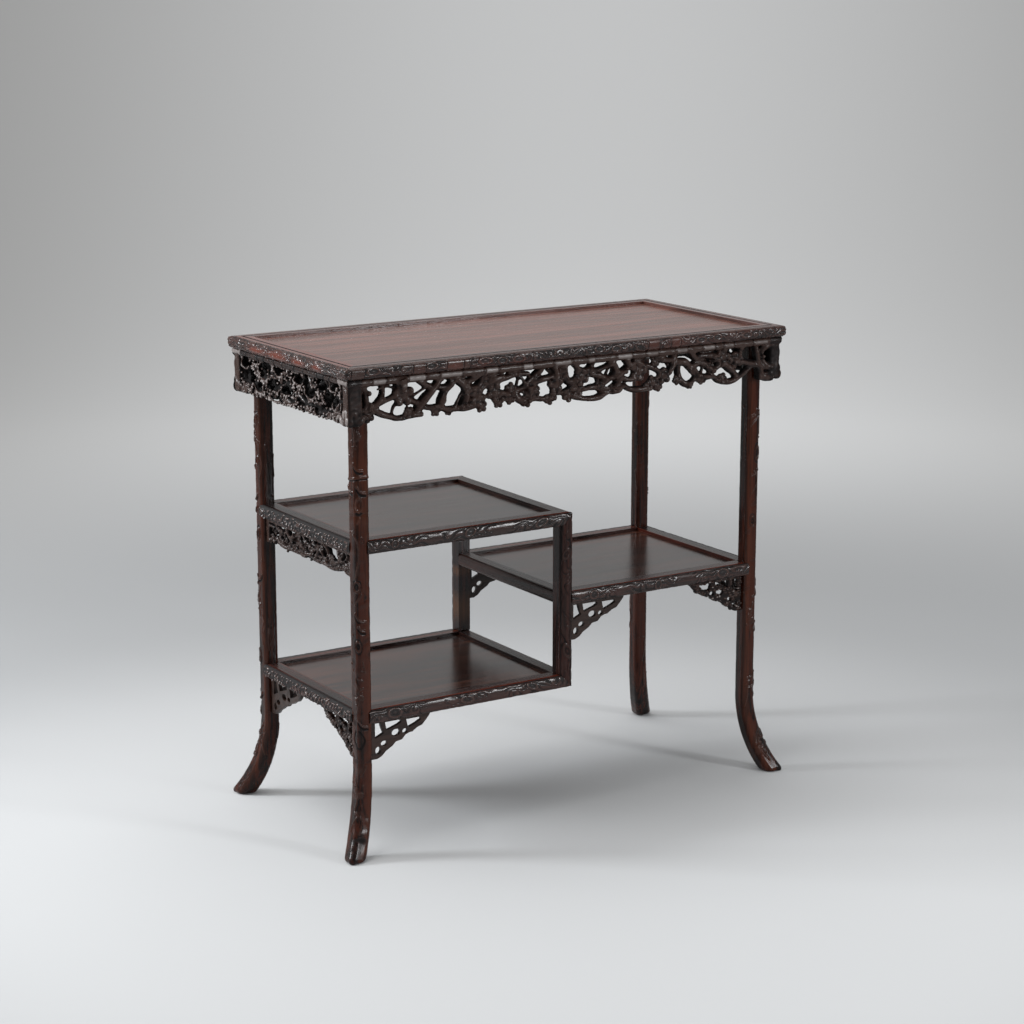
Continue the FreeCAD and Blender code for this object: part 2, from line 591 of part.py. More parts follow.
side_branches = [
    (4, [(-200, 38), (-180, 42), (-160, 46), (-130, 49), (-110, 44)]),
    (4, [(-185, 30), (-170, 21), (-150, 18), (-132, 26), (-112, 36), (-90, 38)]),
    (5, [(-190, 60), (-186, 40), (-178, 20), (-186, 8)]),
    (5, [(-150, 70), (-138, 52), (-120, 40), (-100, 34), (-82, 24)]),
    (4, [(-90, 38), (-70, 46), (-50, 49), (-30, 46), (-10, 40), (8, 44)]),
    (5, [(-100, 30), (-88, 16), (-70, 10), (-50, 14)]),
    (4, [(-60, 70), (-56, 52), (-62, 36), (-50, 22), (-35, 18)]),
    (4, [(-40, 30), (-20, 38), (0, 50), (14, 60), (20, 70)]),
    (4, [(-20, 70), (-14, 56), (0, 46), (16, 40)]),
    (5, [(24, 34), (36, 24), (50, 18), (70, 17), (90, 20), (108, 24)]),
    (4, [(36, 24), (30, 40), (36, 56), (52, 60)]),
    (4, [(50, 34), (66, 44), (84, 50), (100, 56), (112, 62)]),
    (5, [(60, 70), (70, 56), (86, 44), (100, 40), (112, 34)]),
    (4, [(108, 24), (122, 36), (134, 50), (142, 60), (146, 70)]),
    (4, [(140, 34), (152, 28), (166, 20), (180, 16)]),
    (5, [(120, 70), (126, 56), (120, 44)]),
    (5, [(150, 46), (162, 40), (174, 48), (172, 62), (160, 64)]),
    (5, [(150, 14), (160, 24), (170, 36), (190, 40)]),
    (5, [(-186, 10), (-160, 12), (-140, 10), (-120, 10), (-90, 8), (-70, 10)]),
    (5, [(-50, 12), (-30, 8), (-10, 12), (10, 6), (30, 6), (60, 10), (80, 6), (100, 8), (120, 10), (140, 12), (180, 10)]),
]
side_blossoms = [
    (-192, 12, 12), (-175, 8, 8), (-160, 30, 8), (-152, 10, 9), (-136, 14, 9), (-118, 10, 9), (-100, 14, 10),
    (-84, 10, 8), (-64, 18, 9), (-46, 28, 8), (-44, 9, 8), (-26, 16, 10), (-6, 38, 12), (-8, 16, 9), (10, 11, 11),
    (26, 12, 10), (8, 58, 7), (46, 10, 8), (58, 22, 9), (76, 10, 8), (92, 14, 10), (110, 10, 9), (112, 36, 10),
    (90, 34, 9), (128, 14, 9), (146, 14, 9), (164, 10, 9), (134, 56, 7), (70, 58, 7), (-76, 34, 9), (-104, 44, 8),
    (-146, 58, 7), (156, 52, 8), (184, 12, 12), (190, 44, 8), (-192, 46, 8),
]
shelf_drawing_size = (334.0, 46.0)
shelf_branches = [
    (4, [(-152, 8), (-130, 10), (-112, 12), (-96, 8), (-70, 6), (-40, 5), (-14, 7), (0, 12), (10, 6), (36, 6)]),
    (4, [(36, 6), (60, 8), (86, 5), (106, 8), (122, 12), (134, 8), (150, 5)]),
    (3, [(-150, 34), (-130, 32), (-116, 28), (-104, 14)]),
    (3, [(-132, 42), (-120, 36), (-100, 32), (-84, 32)]),
    (4, [(-80, 42), (-72, 30), (-60, 18), (-46, 8)]),
    (4, [(-66, 26), (-48, 34), (-36, 38), (-28, 42)]),
    (4, [(-50, 16), (-30, 24), (-16, 18), (-6, 10)]),
    (3, [(-24, 42), (-10, 30), (4, 26), (20, 22)]),
    (3, [(8, 42), (20, 36), (34, 32), (48, 22), (52, 8)]),
    (4, [(20, 8), (32, 20), (36, 30)]),
    (4, [(56, 42), (64, 30), (62, 10)]),
    (4, [(66, 24), (84, 16), (100, 18), (112, 26), (116, 42)]),
    (4, [(100, 42), (108, 30), (120, 22), (136, 14)]),
    (4, [(128, 42), (134, 28), (146, 14), (150, 6)]),
]
shelf_blossoms = [
    (-118, 14, 7), (-98, 12, 8), (-84, 20, 7), (-72, 10, 7), (-56, 12, 8), (-40, 12, 7), (-28, 14, 8), (-36, 30, 6),
    (-12, 12, 7), (8, 18, 8), (22, 10, 7), (40, 12, 7), (56, 12, 7), (76, 12, 8), (90, 12, 7), (104, 12, 8),
    (120, 14, 7), (-100, 30, 7), (44, 32, 7), (80, 22, 7), (112, 34, 6), (136, 14, 8), (-134, 14, 8), (28, 24, 6),
    (-14, 24, 6),
]


def strip(points, half_width):
    """A flat strip of even width along a line of points in the XZ plane."""
    left, right = [], []
    for i, point in enumerate(points):
        before = points[max(i - 1, 0)]
        after = points[min(i + 1, len(points) - 1)]
        along = (after - before).normalize()
        side = Vector(-along.z, 0, along.x) * half_width
        left.append(point + side)
        right.append(point - side)
    ring = left + right[::-1]
    return Part.Face(Part.makePolygon(ring + ring[:1]))


def openwork(drawing, length, height, bar_height, end_width, thickness):
    """A pierced board in the XZ plane, lowest twig at zero, from y 0 to its thickness."""
    (drawn_length, drawn_height), branches, blossoms = drawing
    stretch = length / drawn_length
    rise = height / drawn_height
    half = length / 2
    faces = []
    for half_width, points in branches:
        faces.append(strip([Vector(x * stretch, 0, z * rise) for x, z in points], half_width * rise))
    for x, z, radius in blossoms:
        rim = Part.makeCircle(radius * rise, Vector(x * stretch, 0, z * rise), Vector(0, 1, 0))
        faces.append(Part.Face(Part.Wire(rim)))
    bar = [Vector(-half, 0, height - bar_height), Vector(half, 0, height - bar_height),
           Vector(half, 0, height), Vector(-half, 0, height)]
    faces.append(Part.Face(Part.makePolygon(bar + bar[:1])))
    for sign in (-1, 1):
        end = [Vector(sign * half, 0, 0), Vector(sign * half, 0, height),
               Vector(sign * (half - end_width), 0, height), Vector(sign * (half - end_width), 0, 0)]
        faces.append(Part.Face(Part.makePolygon(end + end[:1])))
    bars = [face.extrude(Vector(0, thickness, 0)) for face in faces]
    board = bars[0].multiFuse(bars[1:]).removeSplitter()
    return max(board.Solids, key=lambda solid: solid.Volume)


long_drawing = (long_drawing_size, long_branches, long_blossoms)
side_drawing = (side_drawing_size, side_branches, side_blossoms)
shelf_drawing = (shelf_drawing_size, shelf_branches, shelf_blossoms)

# Aprons, mitred where they meet
apron_low = top_underside - apron_height
long_apron = openwork(long_drawing, 2 * apron_outer_x, apron_height, apron_bar_height, apron_end_width,
                      apron_thickness)
long_apron = moved(long_apron, 0, -apron_outer_y, apron_low)
short_apron = openwork(side_drawing, 2 * apron_outer_y, apron_height, apron_bar_height, apron_end_width,
                       apron_thickness)
short_apron = turned(moved(short_apron, 0, -apron_outer_x, apron_low), -90)
for sign in (-1, 1):
    corner = Vector(sign * apron_outer_x, -apron_outer_y, apron_low)
    long_apron = long_apron.cut(beyond(corner, Vector(sign, 1, 0)))
    corner = Vector(-apron_outer_x, sign * apron_outer_y, apron_low)
    short_apron = short_apron.cut(beyond(corner, Vector(1, sign, 0)))
long_apron = long_apron.fuse([mirror_y(long_stub(x)) for x in long_stub_places]).removeSplitter()
short_apron = short_apron.fuse([mirror_x(short_stub(y)) for y in short_stub_places]).removeSplitter()
parts["apron_front"] = long_apron
parts["apron_back"] = mirror_y(long_apron)
parts["apron_left"] = short_apron
parts["apron_right"] = mirror_x(short_apron)

# Openwork under the left rail of the upper shelf
shelf_apron_top = upper_shelf_top - shelf_rail_height
shelf_apron = openwork(shelf_drawing, 2 * leg_y, shelf_apron_height, shelf_apron_bar_height,
                       shelf_apron_end_width, shelf_apron_thickness)
shelf_apron = moved(shelf_apron, 0, -leg_x - shelf_apron_thickness / 2, shelf_apron_top - shelf_apron_height)
shelf_apron = moved(turned(moved(shelf_apron, 0, leg_x, 0), -90), -leg_x, 0, 0)
shelf_apron = shelf_apron.cut(plain_legs["front_left"]).cut(plain_legs["back_left"])
shelf_stub = box(-leg_x - 4, -leg_x + 4, -stub_width, stub_width, shelf_apron_top - 2,
                 shelf_apron_top + bracket_stub_depth)
parts["upper_apron_left"] = shelf_apron.fuse(shelf_stub).removeSplitter()
parts["upper_rail_left"] = tenon_in(parts["upper_rail_left"], shelf_stub)

for place, shape in legs.items():
    parts["leg_" + place] = shape
for place, shape in posts.items():
    parts["post_" + place] = shape

os.makedirs("parts", exist_ok=True)
for name, shape in parts.items():
    shape.Solids[0].exportStep("parts/" + name + ".step")
print(len(parts), "parts")
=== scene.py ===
# %% [markdown]
# Three-tier shelf in carved, waxed rosewood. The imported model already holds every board, rail and leg
# where it belongs, so this lesson dresses it: first the camera and the light, then the wood, then the
# carving. Sizes that a carver would read off a rule are given in millimetres and turned into metres only
# when a mesh is written.

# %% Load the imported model
import math

import bpy
import numpy as np
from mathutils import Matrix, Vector, noise


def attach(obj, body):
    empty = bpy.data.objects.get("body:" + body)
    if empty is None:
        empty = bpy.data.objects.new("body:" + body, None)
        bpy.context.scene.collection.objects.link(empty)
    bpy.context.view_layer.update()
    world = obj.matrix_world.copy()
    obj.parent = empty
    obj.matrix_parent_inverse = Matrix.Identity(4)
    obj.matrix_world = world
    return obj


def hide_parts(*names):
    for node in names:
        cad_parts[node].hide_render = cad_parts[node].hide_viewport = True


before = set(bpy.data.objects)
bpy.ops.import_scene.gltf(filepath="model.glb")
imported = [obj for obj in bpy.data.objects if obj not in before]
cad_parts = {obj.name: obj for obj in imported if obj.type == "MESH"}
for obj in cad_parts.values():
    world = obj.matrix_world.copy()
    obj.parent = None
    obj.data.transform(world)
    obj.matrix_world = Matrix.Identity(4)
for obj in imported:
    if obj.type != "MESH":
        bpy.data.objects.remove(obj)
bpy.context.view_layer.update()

MM = 0.001

# %% [markdown]
# The picture is taken from the front left, a little above the top. A long lens keeps the uprights
# parallel, as on a studio camera that stands some four metres off. A camera can be aimed by eye, but then
# edges drift, so the place, the aim and the lens here were measured from the vanishing lines of the
# shelves.

# %% Camera
CAMERA_AT, CAMERA_AIM = (-2.2397, -3.5160, 1.4435), (0.0051, 0.0044, 0.4960)
LENS, SENSOR, FARTHEST = 85.33, 36.0, 500.0


def stand(name, data, place, aim_at):
    """Stands a camera or a lamp in the studio, looking at a point."""
    holder = bpy.data.objects.new(name, data)
    bpy.context.scene.collection.objects.link(holder)
    holder.location = place
    holder.rotation_euler = (Vector(aim_at) - Vector(place)).to_track_quat("-Z", "Y").to_euler()
    return holder


camera_data = bpy.data.cameras.new("studio_camera")
camera_data.lens = LENS
camera_data.sensor_width = SENSOR
camera_data.clip_end = FARTHEST
bpy.context.scene.camera = stand("studio_camera", camera_data, CAMERA_AT, CAMERA_AIM)
print("camera distance in metres:", round(math.dist(CAMERA_AT, CAMERA_AIM), 3))

# %% [markdown]
# Shaders are wired from a few small nodes. They could be laid out by hand in the editor, but helpers that
# add one node each read like sums, and the same sums then serve the floor and every finish.

# %% Nodes by hand: sums and colours
def wire(tree, value, socket):
    """Feeds a socket from another socket, or sets it to a plain value."""
    if isinstance(value, bpy.types.NodeSocket):
        tree.links.new(value, socket)
    elif value is not None:
        socket.default_value = value


def reckon(tree, operation, *values, clamp=False):
    """One Math node; returns its result."""
    node = tree.nodes.new("ShaderNodeMath")
    node.operation = operation
    node.use_clamp = clamp
    for socket, value in zip(node.inputs, values):
        wire(tree, value, socket)
    return node.outputs[0]


def times(tree, value, factor):
    """A value made larger or smaller."""
    return reckon(tree, "MULTIPLY", value, factor)


def add_up(tree, values):
    """The sum of several sockets or numbers."""
    total = values[0]
    for value in values[1:]:
        total = reckon(tree, "ADD", total, value)
    return total


def blend_colours(tree, share, first, second):
    """One colour Mix node; returns its result."""
    node = tree.nodes.new("ShaderNodeMix")
    node.data_type = "RGBA"
    wire(tree, share, node.inputs[0])
    wire(tree, first, node.inputs[6])
    wire(tree, second, node.inputs[7])
    return node.outputs[2]


def rise_between(tree, value, low, high):
    """A smooth step: 0 below low, 1 above high. With low above high it falls instead."""
    node = tree.nodes.new("ShaderNodeMapRange")
    node.interpolation_type = "SMOOTHSTEP"
    wire(tree, value, node.inputs["Value"])
    wire(tree, low, node.inputs["From Min"])
    wire(tree, high, node.inputs["From Max"])
    return node.outputs["Result"]


print("sums ready")

# %% Nodes by hand: patterns and places
def speckle(tree, vector, scale, detail, distortion=0.0):
    """One Noise node; returns its grey value."""
    node = tree.nodes.new("ShaderNodeTexNoise")
    wire(tree, vector, node.inputs["Vector"])
    node.inputs["Scale"].default_value = scale
    node.inputs["Detail"].default_value = detail
    node.inputs["Distortion"].default_value = distortion
    return node.outputs["Fac"]


def object_place(tree):
    """Object coordinates, which are metres in the shared frame."""
    return tree.nodes.new("ShaderNodeTexCoord").outputs["Object"]


def split(tree, vector):
    """The three parts of a vector."""
    node = tree.nodes.new("ShaderNodeSeparateXYZ")
    wire(tree, vector, node.inputs[0])
    return node.outputs


def flat_offset(tree, place, centre):
    """How far a place lies from a centre on the floor, and its two offsets from it."""
    offsets = [reckon(tree, "SUBTRACT", place[axis], centre[axis]) for axis in (0, 1)]
    squares = [reckon(tree, "POWER", offset, 2.0) for offset in offsets]
    return reckon(tree, "SQRT", reckon(tree, "ADD", *squares)), offsets


def new_material(name):
    """An empty material with a Principled shader in it."""
    material = bpy.data.materials.new(name)
    material.use_nodes = True
    return material, material.node_tree, material.node_tree.nodes["Principled BSDF"]


print("patterns ready")

# %% [markdown]
# The studio is a pale paper floor with no wall, so it works from every side. A sweep of paper behind the
# stand would show its edge from other views. A pool of light is painted on the paper before the stand's
# left half, and the paper is greyer round it. Far off it stands for the backdrop, with a pale fan painted on
# it as if a lamp threw its light that way.

# %% The floor
FLOOR_RADIUS = 300.0
LIT_POOL_AT = (-0.25, -0.40)
FAN_FROM, FAN_HEADING, FAN_SPREAD = (-3.0, -4.6), math.radians(55.5), math.radians(18)
LIT_POOL_PAPER, GREY_PAPER = (0.54, 0.548, 0.554, 1), (0.355, 0.361, 0.367, 1)
BACKDROP, FAN_LIT = (0.45, 0.45, 0.445, 1), (0.85, 0.86, 0.865, 1)
bpy.ops.object.select_all(action="DESELECT")
bpy.ops.mesh.primitive_circle_add(vertices=96, radius=FLOOR_RADIUS, fill_type="NGON", location=(0, 0, 0))
floor = bpy.context.object
floor.name = "studio_floor"
paper, tree, shader = new_material("studio_paper")
place = split(tree, object_place(tree))
far, _ = flat_offset(tree, place, LIT_POOL_AT)
# The painted pool of light, fading to the greyer paper round it.
pool = blend_colours(tree, rise_between(tree, far, 0.7, 1.7), LIT_POOL_PAPER, GREY_PAPER)
reach, (east, north) = flat_offset(tree, place, FAN_FROM)
ahead = add_up(tree, [times(tree, east, math.cos(FAN_HEADING)), times(tree, north, math.sin(FAN_HEADING))])
aside = reckon(tree, "ARCCOSINE", reckon(tree, "DIVIDE", ahead, reach))
backdrop = blend_colours(tree, rise_between(tree, aside, FAN_SPREAD, 0.0), BACKDROP, FAN_LIT)
paper_colour = blend_colours(tree, rise_between(tree, far, 1.9, 4.2), pool, backdrop)
tree.links.new(paper_colour, shader.inputs["Base Color"])
shader.inputs["Roughness"].default_value = 0.75
shader.inputs["Specular IOR Level"].default_value = 0.2
floor.data.materials.append(paper)
print("floor radius in metres:", FLOOR_RADIUS)

# %% [markdown]
# A small hard box on the left picks out the carving, a slim one at the front right fills its shadows, a
# wide one overhead softens the shadow on the floor, and a sun with a broad disc lights the paper far off.
# The air is brighter near the horizon, as a studio is round its backdrop, so that polished panels have
# something to mirror while the carving stays deep.

# %% Air and lamps
ZENITH, HORIZON = (0.34, 0.34, 0.34, 1), (0.52, 0.52, 0.52, 1)
world = bpy.data.worlds.new("studio_air")
bpy.context.scene.world = world
world.use_nodes = True
air = world.node_tree
toward = split(air, air.nodes.new("ShaderNodeTexCoord").outputs["Generated"])
glow = blend_colours(air, rise_between(air, toward[2], 0.60, 0.25), ZENITH, HORIZON)
air.links.new(glow, air.nodes["Background"].inputs["Color"])


def soft_box(name, place, aim_at, width, height, watts, colour=(1, 1, 1)):
    """A rectangular studio lamp that looks at a point."""
    lamp = bpy.data.lights.new(name, "AREA")
    lamp.shape = "RECTANGLE"
    lamp.size = width
    lamp.size_y = height
    lamp.energy = watts
    lamp.color = colour
    stand(name, lamp, place, aim_at)


soft_box("left_box", (-2.5, 1.4, 1.5), (0, 0, 0.6), 0.5, 0.9, 62, (0.94, 0.97, 1.0))
soft_box("front_box", (1.5, -2.7, 1.4), (0, 0, 0.5), 0.35, 1.0, 33, (0.96, 0.98, 1.0))
soft_box("top_box", (-0.3, 0.2, 3.0), (0.1, -0.1, 0.0), 2.6, 2.6, 44)
sun = bpy.data.lights.new("far_sun", "SUN")
sun.energy = 1.0
sun.angle = math.radians(45)
stand("far_sun", sun, (0, 0, 0), (0.5, -0.2, -0.85))
bpy.context.scene.view_settings.view_transform = "Standard"
print("lamps:", len(bpy.data.lights))

# %% [markdown]
# Rosewood is nearly black in its dark bands and red-brown between them, with long fine streaks and short
# open pores that run with the grain. Years of wax leave a soft gloss. The hollows of the carving are painted
# near black, a painted shade; the high spots are painted a dull brown, partly wear and partly a painted
# highlight, and the tallest of them a pale painted highlight; where hands and cloths rub, the wood wears
# back to a warmer red.
# Every finish could have its own nodes, but one node group keeps them alike. It takes a stretched grain
# vector, four colours, the carving's height, the painted wear and a gloss, and gives back colour,
# roughness and a fine height.

# %% The rosewood node group
PAINTED_PALE_HIGHLIGHT, PORE_DARK_AND_HOLLOW_SHADE = (0.25, 0.22, 0.21, 1), (0.003, 0.002, 0.002, 1)
WOOD_INPUTS = [("Grain", "Vector"), ("Dark", "Color"), ("Warm", "Color"), ("Worn", "Color"),
               ("Raised", "Color"), ("Relief", "Float"), ("Wear", "Float"), ("Gloss", "Float")]
WOOD_OUTPUTS = [("Color", "Color"), ("Roughness", "Float"), ("Height", "Float")]


def make_rosewood():
    """The wood: bands, streaks and pores of the grain, then wear, and painted highlight, pale tips and shade
    by relief.
    """
    group = bpy.data.node_groups.new("rosewood", "ShaderNodeTree")
    for way, sockets in [("INPUT", WOOD_INPUTS), ("OUTPUT", WOOD_OUTPUTS)]:
        for name, kind in sockets:
            group.interface.new_socket(name=name, in_out=way, socket_type="NodeSocket" + kind)
    given = group.nodes.new("NodeGroupInput").outputs
    bands = speckle(group, given["Grain"], 2.0, 3.0, 0.8)
    streaks = speckle(group, given["Grain"], 13.0, 6.0, 0.3)
    pores = rise_between(group, speckle(group, given["Grain"], 75.0, 2.0), 0.60, 0.72)
    figure = reckon(group, "ADD", times(group, bands, 0.55), times(group, streaks, 0.45))
    colour = blend_colours(group, rise_between(group, figure, 0.43, 0.58), given["Dark"], given["Warm"])
    patchy = reckon(group, "ADD", streaks, 0.45)
    # Painted light and shade by the carving's height: raised parts take the Raised colour, partly wear and
    # partly a painted highlight, the tallest a pale painted highlight, and hollows go near black, a painted
    # shade.
    raised = rise_between(group, given["Relief"], 0.0, 0.60)
    for amount, paint in [(raised, given["Raised"]), (given["Wear"], given["Worn"])]:
        share = reckon(group, "MULTIPLY", amount, patchy, clamp=True)
        colour = blend_colours(group, share, colour, paint)
    colour = blend_colours(group, rise_between(group, given["Relief"], 0.85, 1.30), colour, PAINTED_PALE_HIGHLIGHT)
    hollow = rise_between(group, given["Relief"], 0.0, -0.50)
    shade = reckon(group, "MAXIMUM", times(group, pores, 0.35), times(group, hollow, 0.94))
    colour = blend_colours(group, shade, colour, PORE_DARK_AND_HOLLOW_SHADE)
    uneven = times(group, reckon(group, "SUBTRACT", streaks, 0.5), 0.18)
    rough = add_up(group, [given["Gloss"], times(group, hollow, 0.55), uneven])
    height = reckon(group, "SUBTRACT", times(group, streaks, 0.5), pores)
    result = group.nodes.new("NodeGroupOutput")
    for name, value in [("Color", colour), ("Roughness", rough), ("Height", height)]:
        wire(group, value, result.inputs[name])
    return group


rosewood = make_rosewood()
print("nodes in the rosewood group:", len(rosewood.nodes))

# %% [markdown]
# Each finish is that wood with its own grain direction, colours and gloss. The grain runs along a board,
# so the stretch follows X for long boards, Y for the short ones and Z for uprights. Carved pieces carry
# two painted values on their points, relief and worn; on the aprons the relief also holds painted light
# and shade. Plain boards are redder on the lip that faces a panel, the line scored round the rim of the
# top is painted near black and wider than its groove, a painted shade, and the back post is rubbed golden
# in two places.

# %% How a finish is made
GRAIN_STRETCH = {"x": (1.0, 18.0, 18.0), "y": (18.0, 1.0, 18.0), "z": (18.0, 18.0, 1.0)}
BUMP_DEPTH = 0.0006
DARK, WARM = (0.008, 0.0036, 0.0032), (0.036, 0.011, 0.008)
RED, LEG_RED, GOLDEN = (0.140, 0.024, 0.010), (0.105, 0.026, 0.009), (0.150, 0.058, 0.018)
# Colours for raised parts: lighter, partly wear and partly a painted highlight.
RAISED, CARVED = (0.072, 0.045, 0.038), (0.064, 0.034, 0.027)
RIM_DARK, RIM = (0.045, 0.020, 0.016), (0.110, 0.048, 0.039)


def band(tree, axis, low, high, soft=0.0012):
    """One between two places on an axis, in metres, nought outside."""
    position = split(tree, object_place(tree))[axis]
    return reckon(tree, "MULTIPLY", rise_between(tree, position, low - soft, low),
                  rise_between(tree, position, high + soft, high))


def finish_wood(name, grain, dark, warm, gloss, shine, bump=0.25, worn=RED, raised=RAISED, lips=(), lines=()):
    """A waxed rosewood finish. lips are red bands and lines dark bands of painted shade, each an axis, two
    places in metres, an amount and, where it isn't the usual one, a softness."""
    material, tree, shader = new_material(name)
    mapping = tree.nodes.new("ShaderNodeMapping")
    mapping.vector_type = "POINT"
    mapping.inputs["Scale"].default_value = GRAIN_STRETCH[grain]
    wire(tree, object_place(tree), mapping.inputs["Vector"])
    wood = tree.nodes.new("ShaderNodeGroup")
    wood.node_tree = rosewood
    wire(tree, mapping.outputs["Vector"], wood.inputs["Grain"])
    for key, colour in [("Dark", dark), ("Warm", warm), ("Worn", worn), ("Raised", raised)]:
        wood.inputs[key].default_value = (*colour, 1)
    wood.inputs["Gloss"].default_value = gloss
    for key, label, marks, sign in [("Relief", "relief", lines, -1), ("Wear", "worn", lips, 1)]:
        paint = tree.nodes.new("ShaderNodeAttribute")
        paint.attribute_name = label
        shares = [times(tree, band(tree, *mark[:3], *mark[4:]), sign * mark[3]) for mark in marks]
        wire(tree, add_up(tree, [paint.outputs["Fac"]] + shares), wood.inputs[key])
    tree.links.new(wood.outputs["Color"], shader.inputs["Base Color"])
    tree.links.new(wood.outputs["Roughness"], shader.inputs["Roughness"])
    bump_node = tree.nodes.new("ShaderNodeBump")
    bump_node.inputs["Strength"].default_value = bump
    bump_node.inputs["Distance"].default_value = BUMP_DEPTH
    tree.links.new(wood.outputs["Height"], bump_node.inputs["Height"])
    tree.links.new(bump_node.outputs["Normal"], shader.inputs["Normal"])
    shader.inputs["Specular IOR Level"].default_value = shine
    return material


print("grain directions:", list(GRAIN_STRETCH))

# %% The finishes
top_panel_wood = finish_wood("top_panel_wood", "x", (0.085, 0.036, 0.026), (0.165, 0.066, 0.049),
                             0.26, 0.5, 0.05)
shelf_panel_wood = finish_wood("shelf_panel_wood", "x", (0.012, 0.005, 0.004), (0.066, 0.023, 0.014),
                               0.20, 0.5, 0.05)
# The dark bands on the rim are painted shade along its scored groove, wider than the groove.
rim_long_wood = finish_wood("rim_long_wood", "x", RIM_DARK, RIM, 0.24, 0.5, lips=[(1, 0.176, 0.180, 0.15)],
                            lines=[(1, 0.1900, 0.1930, 1.3), (1, -0.1930, -0.1900, 1.3)])
rim_end_wood = finish_wood("rim_end_wood", "y", RIM_DARK, RIM, 0.24, 0.5,
                           lips=[(0, -0.440, -0.405, 0.75), (0, 0.4095, 0.4115, 0.8)],
                           lines=[(0, -0.4230, -0.4200, 1.3), (0, 0.4200, 0.4230, 1.3)])
rail_long_wood = finish_wood("rail_long_wood", "x", DARK, WARM, 0.26, 0.25,
                             lips=[(1, 0.160, 0.168, 0.4), (1, -0.1790, -0.1720, 0.6)])
rail_end_wood = finish_wood("rail_end_wood", "y", DARK, WARM, 0.26, 0.25,
                            lips=[(0, 0.380, 0.3845, 0.3), (0, -0.3860, -0.380, 0.3)])
rail_middle_wood = finish_wood("rail_middle_wood", "y", DARK, (0.030, 0.011, 0.008), 0.28, 0.25)
upright_wood = finish_wood("upright_wood", "z", DARK, WARM, 0.24, 0.18, raised=(0.032, 0.020, 0.017))
leg_wood = finish_wood("leg_wood", "z", (0.005, 0.0020, 0.0016), (0.042, 0.0095, 0.0045), 0.20, 0.20,
                       worn=LEG_RED, raised=(0.034, 0.014, 0.010))
carved_long_wood = finish_wood("carved_long_wood", "x", DARK, WARM, 0.21, 0.40, raised=CARVED)
carved_end_wood = finish_wood("carved_end_wood", "y", DARK, WARM, 0.19, 0.40, raised=CARVED)
openwork_wood = finish_wood("openwork_wood", "x", DARK, (0.026, 0.012, 0.009), 0.28, 0.22,
                            raised=(0.044, 0.025, 0.020))
bracket_wood = finish_wood("bracket_wood", "x", (0.020, 0.012, 0.010), (0.040, 0.023, 0.018), 0.34, 0.25)
batten_wood = finish_wood("batten_wood", "y", (0.020, 0.011, 0.008), (0.060, 0.030, 0.020), 0.55, 0.2)
rubbed_upright_wood = finish_wood("rubbed_upright_wood", "z", DARK, WARM, 0.24, 0.25, worn=GOLDEN,
                                  lips=[(2, 0.286, 0.294, 0.42, 0.034), (2, 0.356, 0.360, 0.3, 0.012)])
print("finishes:", len(bpy.data.materials) - 1)

# %% Give every solid its finish, by the first word that fits its name
FINISH_BY_WORD = {
    "top_panel": top_panel_wood, "upper_panel": shelf_panel_wood, "right_panel": shelf_panel_wood,
    "lower_panel": shelf_panel_wood, "top_rail": rim_long_wood, "top_end": rim_end_wood,
    "rail_front": rail_long_wood, "rail_back": rail_long_wood, "rail_left": rail_end_wood,
    "rail_side": rail_end_wood, "rail_right": rail_middle_wood, "rail_middle": rail_middle_wood,
    "post_back": rubbed_upright_wood, "post": upright_wood, "leg": leg_wood, "batten": batten_wood,
    "bracket": bracket_wood, "apron": openwork_wood,
}
for node_name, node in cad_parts.items():
    finish = next(wood for word, wood in FINISH_BY_WORD.items() if word in node_name)
    node.data.materials.clear()
    node.data.materials.append(finish)
print("solids with a finish:", len(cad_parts))

# %% [markdown]
# A carver draws on a flat strip before cutting, so the carving here starts the same way. A strip is the
# surface unrolled: s runs along the wood, t across it, and h holds the height of the cut at every sample,
# in millimetres. Motifs are pressed into the strip one by one, and the strip is then wrapped round the
# real section. Sculpting by hand would give the same shapes, but a strip repeats exactly and keeps its
# height for the shader to wear by.

# %% The strip and its stamp
def blank_strip(length, width, step, closes=False):
    """An uncut strip. closes says that t runs right round a section, so a motif may cross the seam."""
    rows, columns = (int(round(size / step)) + 1 for size in (length, width))
    return {
        "s": np.linspace(0.0, length, rows),
        "t": np.linspace(0.0, width, columns),
        "h": np.zeros((rows, columns)),
        "worn": np.zeros((rows, columns)),
        "laps": (-width, 0.0, width) if closes else (0.0,),
    }


def stamp(strip, s, t, reach, lift, add=False, layer="h"):
    """Presses lift(ds, dt) into the strip round one place: added to what is there, or standing above it."""
    for lap in strip["laps"]:
        i0, i1 = np.searchsorted(strip["s"], (s - reach, s + reach))
        j0, j1 = np.searchsorted(strip["t"], (t + lap - reach, t + lap + reach))
        if i1 <= i0 or j1 <= j0:
            continue
        ds, dt = np.meshgrid(strip["s"][i0:i1] - s, strip["t"][j0:j1] - t - lap, indexing="ij")
        patch = strip[layer][i0:i1, j0:j1]
        patch[:] = patch + lift(ds, dt) if add else np.maximum(patch, lift(ds, dt))


def turned_axes(ds, dt, turn):
    """The same offsets seen along a direction turned by an angle in degrees."""
    c, d = math.cos(math.radians(turn)), math.sin(math.radians(turn))
    return ds * c + dt * d, dt * c - ds * d


def line_distance(ds, dt, points):
    """Distance of each sample from a line of points."""
    best = np.full(ds.shape, 1e9)
    for (a, b), (c, d) in zip(points, points[1:]):
        along = max((c - a) ** 2 + (d - b) ** 2, 1e-9)
        share = np.clip(((ds - a) * (c - a) + (dt - b) * (d - b)) / along, 0.0, 1.0)
        best = np.minimum(best, np.hypot(ds - a - share * (c - a), dt - b - share * (d - b)))
    return best


